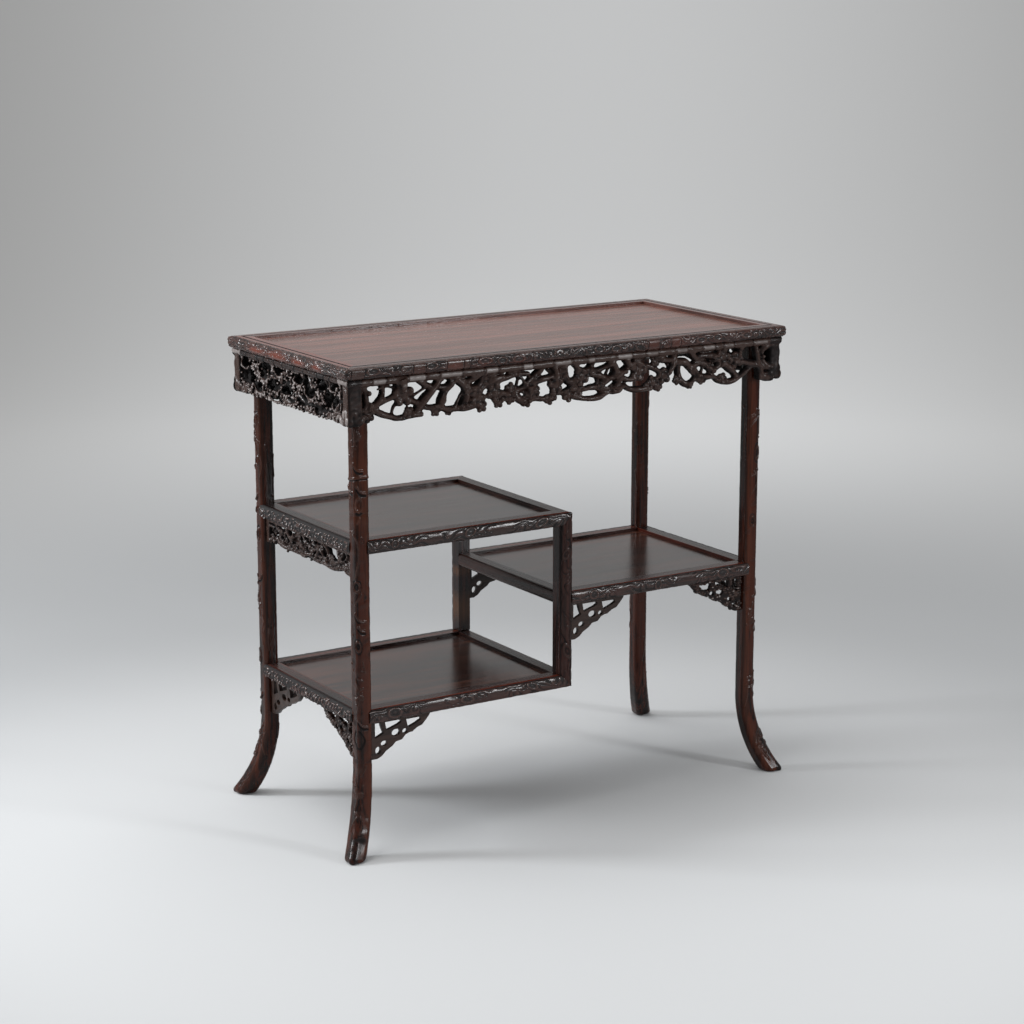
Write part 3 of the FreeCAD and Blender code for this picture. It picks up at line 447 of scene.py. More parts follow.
def smooth_line(points, pieces=5):
    """A rounder line through the same points."""
    rows = [points[0]] + list(points) + [points[-1]]
    line = []
    for p0, p1, p2, p3 in zip(rows, rows[1:], rows[2:], rows[3:]):
        for u in np.linspace(0.0, 1.0, pieces, endpoint=False):
            line.append(tuple(0.5 * (2 * b + (c - a) * u + (2 * a - 5 * b + 4 * c - d) * u**2
                                     + (3 * b - a - 3 * c + d) * u**3) for a, b, c, d in zip(p0, p1, p2, p3)))
    return line + [points[-1]]


print("strip tools ready")

# %% [markdown]
# The motifs are the plum tree's own: branches, oval knots with a rim, five-petalled blossoms and round
# buds, bark that swirls round its eyes, smooth ovals, smooth lengths of stem, berries, and the wear of
# hands. Each is a height worked out from the distance to its middle, which gives cleaner edges than a
# painted picture would.

# %% Motifs: branches, knots, blossoms and buds
def branch(strip, points, half_width, height):
    """A round ridge along a line, or with a negative height a scored groove."""
    line = smooth_line(points)
    s, t = np.mean(line, axis=0)
    row = [(a - s, b - t) for a, b in line]
    reach = max(max(abs(a), abs(b)) for a, b in row) + 2 * half_width

    def ridge(ds, dt):
        part = np.clip(1.0 - (line_distance(ds, dt, row) / half_width) ** 2, 0.0, 1.0)
        return height * np.sqrt(part)

    def groove(ds, dt):
        return height * np.exp(-(line_distance(ds, dt, row) / half_width) ** 2)

    stamp(strip, s, t, reach, ridge if height > 0 else groove, add=height < 0)


def knot(strip, s, t, length, width, height, turn=0.0):
    """An oval tree knot: a raised rim, a dish and a boss in the dish, with a trench round it."""
    def lift(ds, dt):
        u, v = turned_axes(ds, dt, turn)
        r = np.hypot(u / (length / 2), v / (width / 2))
        rim = np.exp(-((r - 0.82) / 0.20) ** 2)
        dish = np.exp(-(r / 0.62) ** 4)
        boss = np.exp(-(r / 0.30) ** 2)
        trench = np.exp(-((r - 1.2) / 0.14) ** 2)
        return height * (rim - 0.7 * dish + 0.75 * boss - 0.45 * trench)
    stamp(strip, s, t, 0.75 * max(length, width), lift, add=True)


def blossom(strip, s, t, radius, height, turn=0.0):
    """A plum blossom seen from the front: five round petals, dished, about a raised eye."""
    def lift(ds, dt):
        angle = np.arctan2(dt, ds) + math.radians(turn)
        r = np.hypot(ds, dt) / radius
        edge = 0.80 + 0.20 * np.cos(5 * angle)
        petal = np.clip(1.0 - (r / edge) ** 6, 0.0, 1.0) * (0.55 + 0.45 * np.clip(r / edge, 0, 1))
        parting = np.exp(-((1 + np.cos(5 * angle)) / 0.16)) * np.clip(r * 2 - 0.4, 0, 1)
        eye = np.exp(-(r / 0.20) ** 2)
        return height * (petal * (1 - 0.6 * parting) + 0.55 * eye)
    stamp(strip, s, t, 1.1 * radius, lift)


def bud(strip, s, t, radius, height, stretch=1.0):
    """A round bud, or one drawn out along the strip."""
    stamp(strip, s, t, radius * stretch,
          lambda ds, dt: height * np.sqrt(np.clip(1 - ((ds / stretch) ** 2 + dt**2) / radius**2, 0, 1)))


print("tree motifs ready")

# %% Motifs: bark, eyes and smooth lengths
def flow(strip, eyes, pitch, height, seed):
    """Carved bark: broad smooth bands parted by narrow cuts, running along the wood and swirling round eyes.

    Each eye is its place (s, t) and half its length and width.
    """
    chance = np.random.default_rng(seed)
    s, t = np.meshgrid(strip["s"], strip["t"], indexing="ij")
    bands = (t - strip["t"][-1] / 2) / pitch
    bands += 0.40 * np.sin(s / 14.0 + chance.uniform(0, 6)) + 0.30 * np.sin(s / 6.1 + chance.uniform(0, 6))
    for place, across, long, wide in eyes:
        turn = chance.choice([-1, 1]) * chance.uniform(1.2, 1.9)
        bands += turn * np.exp(-((s - place) / long) ** 2 - ((t - across) / wide) ** 2)
    strip["h"] += height * np.abs(np.cos(math.pi * bands)) ** 0.5
    for place, across, long, wide in eyes:
        bud(strip, place, across, 0.5 * wide, 1.25 * height)


def wipe(strip, s, t, length, width, height):
    """A smooth oval, cleared of whatever was cut there before."""
    ds, dt = np.meshgrid(strip["s"] - s, strip["t"] - t, indexing="ij")
    inside = np.clip(3 * (1.3 - np.hypot(2 * ds / length, 2 * dt / width)), 0, 1)
    strip["h"] += inside * (height - strip["h"])


def ringed_eye(strip, s, t, length, width, height):
    """A knot on a smooth oval of its own."""
    wipe(strip, s, t, length, width, 0.75)
    knot(strip, s, t, length, width, height)


def plain_length(strip, start, stop, height):
    """A smooth length of stem between two cuts, right across the strip."""
    inside = (strip["s"] > start) & (strip["s"] < stop)
    strip["h"][inside] = height
    for s in (start, stop):
        branch(strip, [(s, 0.0), (s, strip["t"][-1])], 1.1, -1.2 * height)


def bark(strip, height, seed):
    """Slow unevenness left by the gouge."""
    draw = np.random.default_rng(seed)
    s, t = np.meshgrid(strip["s"], strip["t"], indexing="ij")
    for _ in range(10):
        fs, ft, phase = draw.uniform(0.05, 0.35), draw.integers(-3, 4), draw.uniform(0, 6.3)
        strip["h"] += height * 0.3 * np.sin(fs * s + ft * 2 * math.pi * t / strip["t"][-1] + phase)


print("bark motifs ready")

# %% Motifs: berries, stems and wear
BERRY_PITCH, BERRY_STRETCH = 5.2, 1.6


def beads(strip, start, stop, low, high, seed):
    """Oval berries side by side, of all heights; the finish paints the ground between them dark, a painted
    shade, and the tallest pale, a painted highlight.
    """
    chance = np.random.default_rng(seed)
    spacing = BERRY_STRETCH * BERRY_PITCH
    for row, t in enumerate(np.arange(low, high, 0.9 * BERRY_PITCH)):
        for s in np.arange(start + spacing / 2 * (row % 2), stop, spacing):
            if chance.uniform() < 0.78:
                bud(strip, s + chance.normal(0, 1.2), t + chance.normal(0, 0.6), chance.uniform(1.6, 2.4),
                    chance.uniform(0.8, 2.3), BERRY_STRETCH)


def stem(strip, s, t, length, width, height):
    """A smooth length of stem with rounded ends."""
    def lift(ds, dt):
        r = np.abs(2 * ds / length) ** 6 + np.abs(2 * dt / width) ** 2
        return height * np.sqrt(np.clip(1 - r, 0, 1))
    stamp(strip, s, t, 0.6 * max(length, width), lift)


def rub(strip, s, t, along, across, amount):
    """Paints a soft patch of wear."""
    def lift(ds, dt):
        return amount * np.exp(-(ds / along) ** 2 - (dt / across) ** 2)
    stamp(strip, s, t, 2.2 * max(along, across), lift, add=True, layer="worn")


print("berries, stems and wear ready")

# %% [markdown]
# A wrapped strip becomes a closed skin. A displaced plane would do for a flat board, but these sections
# are round. So a grid with one point per sample is added, each point is moved to its place on the wood
# plus the height of the cut, the edges that meet are merged, and open ends are filled.

# %% Wrap a strip into a solid skin
def pick(piece):
    """Selects one piece alone and makes it the active one."""
    bpy.ops.object.select_all(action="DESELECT")
    piece.select_set(True)
    bpy.context.view_layer.objects.active = piece


def write_points(mesh, points):
    """Moves a mesh's points, given in metres."""
    mesh.vertices.foreach_set("co", points.astype(np.float32).reshape(-1))
    mesh.update()


def paint_points(mesh, label, values):
    """Keeps one number per point for the finish to read."""
    layer = mesh.attributes.new(label, "FLOAT", "POINT")
    layer.data.foreach_set("value", values.astype(np.float32).reshape(-1))


def settle(piece, finish, replaced=()):
    """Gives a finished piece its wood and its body."""
    piece.data.materials.clear()
    piece.data.materials.append(finish)
    pick(piece)
    bpy.ops.object.shade_smooth_by_angle(angle=math.radians(50))
    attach(piece, "root")
    if replaced:
        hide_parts(*replaced)
    print(piece.name, "faces:", len(piece.data.polygons))


def wrap(name, points, relief, worn, finish, replaced=(), ground=0.6, tip=0.7):
    """Makes a closed piece from a grid of points in millimetres: rows along it, columns round it.

    ground is the height that the finish takes as neither raised nor hollow: above it the wood is painted
    lighter, partly a painted highlight, below it darker, a painted shade. tip is the palest it may go.
    """
    rows, columns = points.shape[:2]
    bpy.ops.object.select_all(action="DESELECT")
    bpy.ops.mesh.primitive_grid_add(x_subdivisions=columns - 1, y_subdivisions=rows - 1, size=1.0)
    piece = bpy.context.object
    piece.name = name
    write_points(piece.data, points * MM)
    paint_points(piece.data, "relief", np.clip(relief - ground, -1.0, tip))
    paint_points(piece.data, "worn", worn)
    bpy.ops.object.mode_set(mode="EDIT")
    bpy.ops.mesh.select_all(action="SELECT")
    bpy.ops.mesh.remove_doubles(threshold=1e-6)
    bpy.ops.mesh.fill_holes(sides=0)
    bpy.ops.mesh.select_all(action="SELECT")
    bpy.ops.mesh.normals_make_consistent(inside=False)
    bpy.ops.object.mode_set(mode="OBJECT")
    settle(piece, finish, replaced)
    return piece


print("ready to wrap")

# %% [markdown]
# The edge of the top is a rounded moulding, carved all the way round. One strip runs along the front,
# then the right end, the back and the left end; four strips would leave four seams at the corners. On the
# first three sides bark swirls round its eyes, and the front follows the old carving stretch by stretch,
# with smooth lengths of stem and patches of buds. The left end is a crowd of blossoms and berries, rubbed
# red where people lean on it.

# %% Top edge: the line it follows
TOP_HALF_X, TOP_HALF_Y, TOP_CORNER = 440.0, 210.0, 4.0
FRONT_RUN = 2 * (TOP_HALF_X - TOP_CORNER)
END_RUN = 2 * (TOP_HALF_Y - TOP_CORNER)
CORNER_RUN = TOP_CORNER * math.pi / 2
RIGHT_START = FRONT_RUN + CORNER_RUN
BACK_START = RIGHT_START + END_RUN + CORNER_RUN
LEFT_START = BACK_START + FRONT_RUN + CORNER_RUN
TOP_RUN = LEFT_START + END_RUN + CORNER_RUN


def top_path(s):
    """Place and outward direction on the rim of the top, s millimetres from the front left corner."""
    x0, y0 = TOP_HALF_X - TOP_CORNER, TOP_HALF_Y - TOP_CORNER
    sides = [((-x0, -TOP_HALF_Y), (1, 0), FRONT_RUN, (x0, -y0)),
             ((TOP_HALF_X, -y0), (0, 1), END_RUN, (x0, y0)),
             ((x0, TOP_HALF_Y), (-1, 0), FRONT_RUN, (-x0, y0)),
             ((-TOP_HALF_X, y0), (0, -1), END_RUN, (-x0, -y0))]
    for start, way, run, centre in sides:
        out = np.array([way[1], -way[0]], float)
        if s <= run:
            return np.array(start) + np.array(way) * s, out
        s -= run
        if s <= CORNER_RUN:
            angle = s / TOP_CORNER
            turned = out * math.cos(angle) + np.array(way, float) * math.sin(angle)
            return np.array(centre) + turned * TOP_CORNER, turned
        s -= CORNER_RUN
    return np.array([-x0, -TOP_HALF_Y]), np.array([0.0, -1.0])


print("carved edge, mm round:", round(TOP_RUN))

# %% Top edge: its section
TOP_HIGH, TOP_LOW, EDGE_ROUND = 820.0, 801.0, 7.0
EDGE_FLAT, EDGE_DEPTH, SMOOTH_ARRIS = 1.0, 1.3, 4.5
EDGE_WIDTH = 2 * EDGE_FLAT + EDGE_ROUND * math.pi + TOP_HIGH - TOP_LOW - 2 * EDGE_ROUND


def edge_section(t):
    """The moulding's section: inset from the outer face, height, and the two parts of its direction."""
    arc = EDGE_ROUND * math.pi / 2
    face = TOP_HIGH - TOP_LOW - 2 * EDGE_ROUND
    if t < EDGE_FLAT:
        return EDGE_ROUND + EDGE_FLAT - t, TOP_HIGH, 0.0, 1.0
    t -= EDGE_FLAT
    if t < arc:
        sine, cosine = math.sin(t / EDGE_ROUND), math.cos(t / EDGE_ROUND)
        return EDGE_ROUND * (1 - sine), TOP_HIGH - EDGE_ROUND * (1 - cosine), sine, cosine
    t -= arc
    if t < face:
        return 0.0, TOP_HIGH - EDGE_ROUND - t, 1.0, 0.0
    t -= face
    if t < arc:
        sine, cosine = math.sin(t / EDGE_ROUND), math.cos(t / EDGE_ROUND)
        return EDGE_ROUND * (1 - cosine), TOP_LOW + EDGE_ROUND * (1 - sine), cosine, -sine
    return EDGE_ROUND + t - arc, TOP_LOW, 0.0, -1.0


edge_strip = blank_strip(TOP_RUN, EDGE_WIDTH, 1.0)
print("carved edge, mm across:", round(EDGE_WIDTH))

# %% Top edge: bark and eyes, the front read off the old carving from left to right
MIDDLE = EDGE_WIDTH / 2
FRONT_EYES = [(-391, 14), (-357, 8), (-338, 9), (-284, 13), (-183, 15), (-150, 11), (-118, 14), (-88, 8),
              (-56, 10), (-24, 9), (10, 9), (42, 12), (76, 11), (106, 10), (130, 8), (178, 8), (226, 10),
              (254, 12), (288, 11), (320, 10), (352, 12), (384, 10), (414, 9)]
RINGED_FROM = 11


def on_front(x):
    """Distance along the strip of a place on the front."""
    return x + TOP_HALF_X - TOP_CORNER


bark(edge_strip, 0.10, 11)
all_eyes = [(on_front(x), MIDDLE + 1.5 * math.sin(x), long, 5.5) for x, long in FRONT_EYES]
draw = np.random.default_rng(5)
for start, run in [(RIGHT_START, END_RUN), (BACK_START, FRONT_RUN)]:
    place = start + 14
    while place < start + run - 10:
        all_eyes.append((place, MIDDLE + draw.uniform(-2, 2), draw.uniform(8, 15), draw.uniform(4.5, 6)))
        place += draw.uniform(24, 44)
flow(edge_strip, all_eyes, 6.8, 1.15, 12)
for place, across, long, wide in all_eyes:
    if long >= RINGED_FROM:
        ringed_eye(edge_strip, place, across, 1.9 * long, 2.1 * wide, 0.65)
print("eyes on the edge:", len(all_eyes))

# %% Top edge: smooth lengths, buds and wear on the front
for x, half in [(-420, 12), (-307, 12), (-240, 16), (-218, 6), (154, 12), (200, 10)]:
    plain_length(edge_strip, on_front(x - half), on_front(x + half), 1.15)
for low, high, count in [(-100, -76, 14), (-60, -8, 30), (208, 232, 14), (300, 440, 24)]:
    for _ in range(count):
        bud(edge_strip, on_front(draw.uniform(low, high)), MIDDLE + draw.uniform(-8, 8),
            draw.uniform(1.6, 2.4), 1.5)
for x, amount in [(-305, 0.15), (-240, 0.35), (-183, 0.3), (154, 0.3), (200, 0.3), (-118, 0.25)]:
    rub(edge_strip, on_front(x), MIDDLE + 2, 18, 8, amount)
print("front edge relief, mm:", round(edge_strip["h"].max(), 2))

# %% Top edge: the crowded left end
def crowd(strip, start, stop, low, high, seed, spacing=7.0, size=(3.4, 6.2)):
    """Blossoms packed close, with berries in all the gaps between them."""
    chance = np.random.default_rng(seed)
    beads(strip, start, stop, low, high, seed)
    for _ in range(int(0.15 * (stop - start) * (high - low) / spacing**2)):
        blossom(strip, chance.uniform(start, stop), chance.uniform(low, high), chance.uniform(*size), 1.5,
                chance.uniform(0, 72))


crowd(edge_strip, LEFT_START - 4, LEFT_START + END_RUN + 6, 3, EDGE_WIDTH - 4, 21)
for place, along, across in [(105, 26, 5), (180, 34, 7), (255, 20, 5), (318, 14, 5)]:
    stem(edge_strip, LEFT_START + place, MIDDLE + 2, 2 * along, 2 * across, 1.7)
    rub(edge_strip, LEFT_START + place, MIDDLE + 2, along, across, 0.9)
print("deepest wear:", round(edge_strip["worn"].max(), 2))

# %% Top edge: wrap it, with a smooth arris above the carving on all sides but the left, painted a pale highlight
def wrap_top_edge():
    """The carved edge of the top; its hidden back lies inside the rim."""
    t_dense, s_all = edge_strip["t"], edge_strip["s"]
    section = np.array([edge_section(t) for t in t_dense])
    full = np.clip(np.minimum(t_dense, t_dense[-1] - t_dense) / 3.0, 0, 1)
    smooth_top = np.clip((t_dense - SMOOTH_ARRIS) / 3.0, 0, 1) * full
    on_left_end = np.clip((s_all - LEFT_START) / 10.0, 0, 1)[:, None]
    fade = full * on_left_end + smooth_top * (1 - on_left_end)
    lift = (EDGE_DEPTH * np.clip(edge_strip["h"], -0.4, None) - 0.2) * fade
    hidden = [(10.0, TOP_LOW + 1.5), (10.0, TOP_HIGH - 1.5)]
    columns = len(t_dense) + len(hidden) + 1
    points = np.zeros((len(s_all), columns, 3))
    for i, s in enumerate(s_all):
        place, out = top_path(s)
        away = -section[:, 0] + section[:, 2] * lift[i]
        limits = np.array([TOP_HALF_X, TOP_HALF_Y]) + away[:, None]
        points[i, :len(t_dense), :2] = np.clip(place + np.outer(away, out), -limits, limits)
        points[i, :len(t_dense), 2] = section[:, 1] + section[:, 3] * lift[i]
        for k, (inset, z) in enumerate(hidden):
            limit = np.array([TOP_HALF_X, TOP_HALF_Y]) - inset
            points[i, len(t_dense) + k] = (*np.clip(place - inset * out, -limit, limit), z)
    points[:, -1] = points[:, 0]
    points[-1] = points[0]
    extra = np.zeros((len(s_all), len(hidden)))
    # A pale painted highlight along the smooth arris, on all sides but the left.
    arris = 1.1 * np.exp(-((t_dense - 3.0) / 1.7) ** 2) * (1 - on_left_end)
    height = edge_strip["h"] * fade + 0.95 * (1 - fade) + arris
    relief = np.hstack([height, extra, height[:, :1]])
    worn = np.hstack([edge_strip["worn"], extra, edge_strip["worn"][:, :1]])
    wrap("top_edge_carving", points, relief, worn, carved_long_wood, ground=0.85, tip=1.3)


wrap_top_edge()

# %% [markdown]
# The rails of the shelves and the two posts wear carving on a bead along their outer faces: bark with its
# eyes, and at the left end blossoms and berries. It could be cut into the rail itself, but then the whole
# rail would need a dense mesh. So each bead is a strip of its own, wrapped over a flat arc whose hidden
# back lies inside the wood. At the posts the beads meet in a mitre, as the old joiners liked it, so each
# end of a bead can be cut on a slant.

# %% Beads: the section and the wrap
BEAD_HALF, BEAD_RISE, BEAD_SUNK, BEAD_BACK = 10.6, 4.6, 1.3, 5.0
BEAD_WIDTH, BEAD_STEP = 26.0, 1.0
bead_angles = np.linspace(0.0, math.pi, 27)
bead_across = -BEAD_HALF * np.cos(bead_angles)
bead_out = BEAD_RISE * np.sin(bead_angles) - BEAD_SUNK


def bead(name, start, way, across, out, length, plan, finish, slant_start=0.0, slant_end=0.0):
    """A carved bead from start along way; across and out are unit directions, and a slant of 1 is a mitre."""
    strip = blank_strip(length, BEAD_WIDTH, BEAD_STEP)
    plan(strip)
    fade = np.clip(np.minimum(bead_angles, math.pi - bead_angles) / 0.35, 0, 1)
    lift = 1.2 * np.clip(strip["h"], -0.5, None) * fade
    way, across, out = (np.array(direction, float) for direction in (way, across, out))
    share = (strip["s"] / length)[:, None]
    first = bead_across * slant_start
    last = length + bead_across * slant_end
    run = first[None, :] * (1 - share) + last[None, :] * share
    lean_across = -np.cos(bead_angles) * BEAD_RISE / BEAD_HALF
    points = np.zeros((len(strip["s"]), len(bead_angles) + 3, 3))
    points[:, :-3] = (np.array(start) + run[..., None] * way
                      + (bead_across + lift * lean_across)[..., None] * across
                      + (bead_out + lift)[..., None] * out)
    for k, column in ((-3, -4), (-2, 0)):
        points[:, k] = points[:, column] - out * BEAD_BACK
    points[:, -1] = points[:, 0]
    relief = np.zeros(points.shape[:2])
    worn = np.zeros(points.shape[:2])
    relief[:, :-3] = strip["h"] * fade
    worn[:, :-3] = strip["worn"]
    relief[:, -1], worn[:, -1] = relief[:, 0], worn[:, 0]
    wrap(name, points, relief, worn, finish, ground=0.85, tip=1.3)


print("bead, mm wide and proud:", 2 * BEAD_HALF, round(BEAD_RISE - BEAD_SUNK, 1))

# %% Beads: two plans of carving
def tree_plan(seed):
    """Old plum bark with an eye every few centimetres."""
    def plan(strip):
        chance = np.random.default_rng(seed)
        eyes, place = [], 16.0
        while place < strip["s"][-1] - 12:
            eyes.append((place, BEAD_WIDTH / 2 + chance.uniform(-3, 3), chance.uniform(8, 17),
                         chance.uniform(5, 7)))
            place += chance.uniform(24, 46)
        flow(strip, eyes, 8.4, 1.15, seed)
        for number, (place, across, long, wide) in enumerate(eyes):
            if number % 4 == 1:
                ringed_eye(strip, place, across, 1.7 * long, 2.2 * wide, 0.65)
            elif number % 4 == 3:
                wipe(strip, place, across, 2.6 * long, 3.0 * wide, 1.05)
    return plan


def crowd_plan(seed):
    """Blossoms and berries from end to end."""
    return lambda strip: crowd(strip, 3, strip["s"][-1] - 3, 4, BEAD_WIDTH - 4, seed, 6.5, (3.0, 5.0))


print("bead plans ready")

# %% Beads: along the rails and up the posts
FACE_X, FACE_Y, RAIL_HALF = 409.5, 179.5, 11.5
LEG_IN_X, LEG_IN_Y = 390.0, 160.0
POST_X, POST_RIGHT = -2.0, 10.0
SHELF_TOPS = {"upper": 531.0, "right": 391.0, "lower": 245.0}
ALONG_X, ALONG_Y, UP = (1, 0, 0), (0, 1, 0), (0, 0, 1)
rail_middles = {shelf: top - RAIL_HALF for shelf, top in SHELF_TOPS.items()}
for side, sign, seed in [("front", -1, 31), ("back", 1, 41)]:
    out = (0, sign, 0)
    for k, (shelf, slant) in enumerate([("upper", 1.0), ("lower", -1.0)]):
        bead(f"{shelf}_bead_{side}", (-LEG_IN_X, sign * FACE_Y, rail_middles[shelf]), ALONG_X, UP, out,
             LEG_IN_X + POST_X, tree_plan(seed + k), carved_long_wood, slant_end=slant)
    bead(f"right_bead_{side}", (POST_RIGHT - 2, sign * FACE_Y, rail_middles["right"]), ALONG_X, UP, out,
         LEG_IN_X - POST_RIGHT + 2, tree_plan(seed + 2), carved_long_wood)
    low = rail_middles["lower"]
    bead(f"post_bead_{side}", (POST_X, sign * FACE_Y, low), UP, ALONG_X, out,
         rail_middles["upper"] - low, tree_plan(seed + 3), upright_wood,
         slant_start=-1.0, slant_end=1.0)
for shelf, sign, plan in [("upper", -1, crowd_plan(51)), ("lower", -1, crowd_plan(52)),
                          ("right", 1, tree_plan(53))]:
    bead(f"{shelf}_bead_end", (sign * FACE_X, -LEG_IN_Y, rail_middles[shelf]), ALONG_Y, UP,
         (sign, 0, 0), 2 * LEG_IN_Y, plan, carved_end_wood)

# %% [markdown]
# The legs are squared, rounded and carved as old plum trunks: oval knots, torn bark, twigs and blossoms
# near the outer corner, with smooth wood between them. Below the lowest shelf each leg bends outwards
# along the diagonal to its foot. A turned or lofted leg would have no carving, so the leg is a strip that
# closes on itself round the section. Its s starts under the top and runs down through the bend.

# %% Legs: the section and the bend
LEG_HALF, LEG_ROUND, LEG_SUNK, FOOT_FULLER = 14.0, 8.0, 0.5, 2.0
LEG_X, LEG_Y = 397.0, 167.0
FOOT_RISE, FOOT_REACH = 150.0, 54.0
BEND = (FOOT_RISE**2 + FOOT_REACH**2) / (2 * FOOT_REACH)
LEG_FLAT = 2 * (LEG_HALF - LEG_ROUND)
LEG_ROUND_RUN = LEG_ROUND * math.pi / 2
LEG_AROUND = 4 * (LEG_FLAT + LEG_ROUND_RUN)
STRAIGHT = TOP_LOW - FOOT_RISE
LEG_RUN = STRAIGHT + BEND * math.radians(46)
LEG_STEP = 1.25
END_FACE, LONG_FACE, OUTER_CORNER = 0.0, LEG_AROUND / 4, LEG_AROUND / 8


def leg_section(t):
    """Place and direction on the section; t is 0 at the middle of the end face and rises to the long face."""
    t = (t + LEG_FLAT / 2) % LEG_AROUND
    quarter, t = divmod(t, LEG_FLAT + LEG_ROUND_RUN)
    if t < LEG_FLAT:
        a, b, na, nb = LEG_HALF, t - LEG_FLAT / 2, 1.0, 0.0
    else:
        turn = (t - LEG_FLAT) / LEG_ROUND
        na, nb = math.cos(turn), math.sin(turn)
        a = LEG_FLAT / 2 + LEG_ROUND * na
        b = LEG_FLAT / 2 + LEG_ROUND * nb
    for _ in range(int(quarter)):
        a, b, na, nb = -b, a, -nb, na
    return a, b, na, nb


def down(z):
    """Distance along a leg at a height in its straight part, and along the bend below it."""
    if z >= FOOT_RISE:
        return TOP_LOW - z
    return STRAIGHT + BEND * math.asin((FOOT_RISE - z) / BEND)


print("leg, mm long and round:", round(LEG_RUN), round(LEG_AROUND))

# %% Legs: ease the sole of a foot
TOE_ROUND, HEEL_ROUND = 11.0, 5.0


def read_points(mesh):
    """Points and outward directions of a mesh, as arrays."""
    points = np.zeros(3 * len(mesh.vertices), np.float32)
    directions = np.zeros(3 * len(mesh.vertices), np.float32)
    mesh.vertices.foreach_get("co", points)
    mesh.vertex_normals.foreach_get("vector", directions)
    return points.reshape(-1, 3).astype(float), directions.reshape(-1, 3).astype(float)


def round_foot(leg, side_x, side_y):
    """Draws the lowest points in under the foot, more at the toe than at the heel."""
    points, _ = read_points(leg.data)
    points /= MM
    low = points[:, 2] < TOE_ROUND
    middle = points[points[:, 2] < 0.5].mean(axis=0)
    out = np.array([side_x, side_y]) / math.sqrt(2)
    offset = points[:, :2] - middle[:2]
    reach = np.maximum(np.hypot(offset[:, 0], offset[:, 1]), 1e-6)
    toe = np.clip(0.5 + 0.5 * (offset @ out) / reach, 0, 1)
    radius = HEEL_ROUND + (TOE_ROUND - HEEL_ROUND) * toe
    under = np.clip(radius - points[:, 2], 0, None)
    drawn_in = radius - np.sqrt(np.maximum(radius**2 - under**2, 0))
    share = np.where(low, np.clip(drawn_in / reach, 0, 0.9), 0.0)
    points[:, :2] -= offset * share[:, None]
    write_points(leg.data, points * MM)


print("toe and heel, mm:", TOE_ROUND, HEEL_ROUND)

# %% Legs: wrap the strip and cut the foot level with the floor
def carve_leg(place, side_x, side_y, strip):
    """One whole leg in place of its solid one."""
    section = np.array([leg_section(t) for t in strip["t"]])
    s = strip["s"]
    turn = np.clip(s - STRAIGHT, 0, None) / BEND
    centre_out = BEND * (1 - np.cos(turn))
    centre_z = TOP_LOW - np.minimum(s, STRAIGHT) - BEND * np.sin(turn)
    lift = 1.4 * np.clip(strip["h"], -1.2, None)
    fuller = np.clip((s - STRAIGHT) / 120.0, 0, 1)[:, None] * FOOT_FULLER
    a = section[:, 0] + section[:, 2] * (lift - LEG_SUNK + fuller)
    b = section[:, 1] + section[:, 3] * (lift - LEG_SUNK + fuller)
    o, q = (a + b) / math.sqrt(2), (a - b) / math.sqrt(2)
    across = centre_out[:, None] + o * np.cos(turn)[:, None]
    points = np.zeros((*lift.shape, 3))
    points[..., 0] = side_x * (LEG_X + (across + q) / math.sqrt(2))
    points[..., 1] = side_y * (LEG_Y + (across - q) / math.sqrt(2))
    points[..., 2] = centre_z[:, None] + o * np.sin(turn)[:, None]
    points[:, -1] = points[:, 0]
    leg = wrap(f"leg_{place}_carving", points, lift, strip["worn"], leg_wood, (f"leg_{place}",),
               ground=0.0, tip=0.86)
    bpy.ops.object.mode_set(mode="EDIT")
    bpy.ops.mesh.select_all(action="SELECT")
    bpy.ops.mesh.bisect(plane_co=(0, 0, 0), plane_no=(0, 0, 1), use_fill=True, clear_inner=True)
    bpy.ops.mesh.select_all(action="SELECT")
    bpy.ops.mesh.normals_make_consistent(inside=False)
    bpy.ops.object.mode_set(mode="OBJECT")
    round_foot(leg, side_x, side_y)


print("legs ready to wrap")

# %% Legs: marks of an old trunk
def leg_line(strip, marks, half_width, height):
    """A twig or a groove through places given as height above the floor and distance round the leg."""
    branch(strip, [(down(z), t) for z, t in marks], half_width, height)


def trunk_ring(strip, z, lean):
    """A ring where a new year's growth starts: a raised collar with a scored line under it."""
    steps = np.linspace(0, LEG_AROUND, 25)
    row = [(down(z + lean * math.sin(2 * math.pi * t / LEG_AROUND)), t) for t in steps]
    branch(strip, row, 2.6, 0.8)
    branch(strip, [(s + 3.2, t) for s, t in row], 1.0, -0.8)


def torn_bark(strip, z, t, size):
    """A curved lip of bark standing proud over a shadowed cut."""
    leg_line(strip, [(z, t - size), (z - size, t - 0.4 * size), (z - 1.3 * size, t + 0.7 * size)], 1.9, 1.5)
    leg_line(strip, [(z - 5, t - size), (z - 5 - size, t - 0.3 * size), (z - 4 - 1.3 * size, t + 0.7 * size)],
             1.6, -1.1)


def blossom_patch(strip, z, t, seed, spread=13.0):
    """A few blossoms with buds and a twig."""
    chance = np.random.default_rng(seed)
    s = down(z)
    for _ in range(4):
        blossom(strip, s + chance.uniform(-spread, spread), t + chance.uniform(-7, 7),
                chance.uniform(4.5, 6.5), 1.5, chance.uniform(0, 72))
    for _ in range(12):
        bud(strip, s + chance.uniform(-spread - 5, spread + 5), t + chance.uniform(-10, 10),
            chance.uniform(1.3, 2.2), 1.1)
    branch(strip, [(s - spread - 14, t - 6), (s, t + 2), (s + spread + 16, t - 3)], 1.5, 0.9)


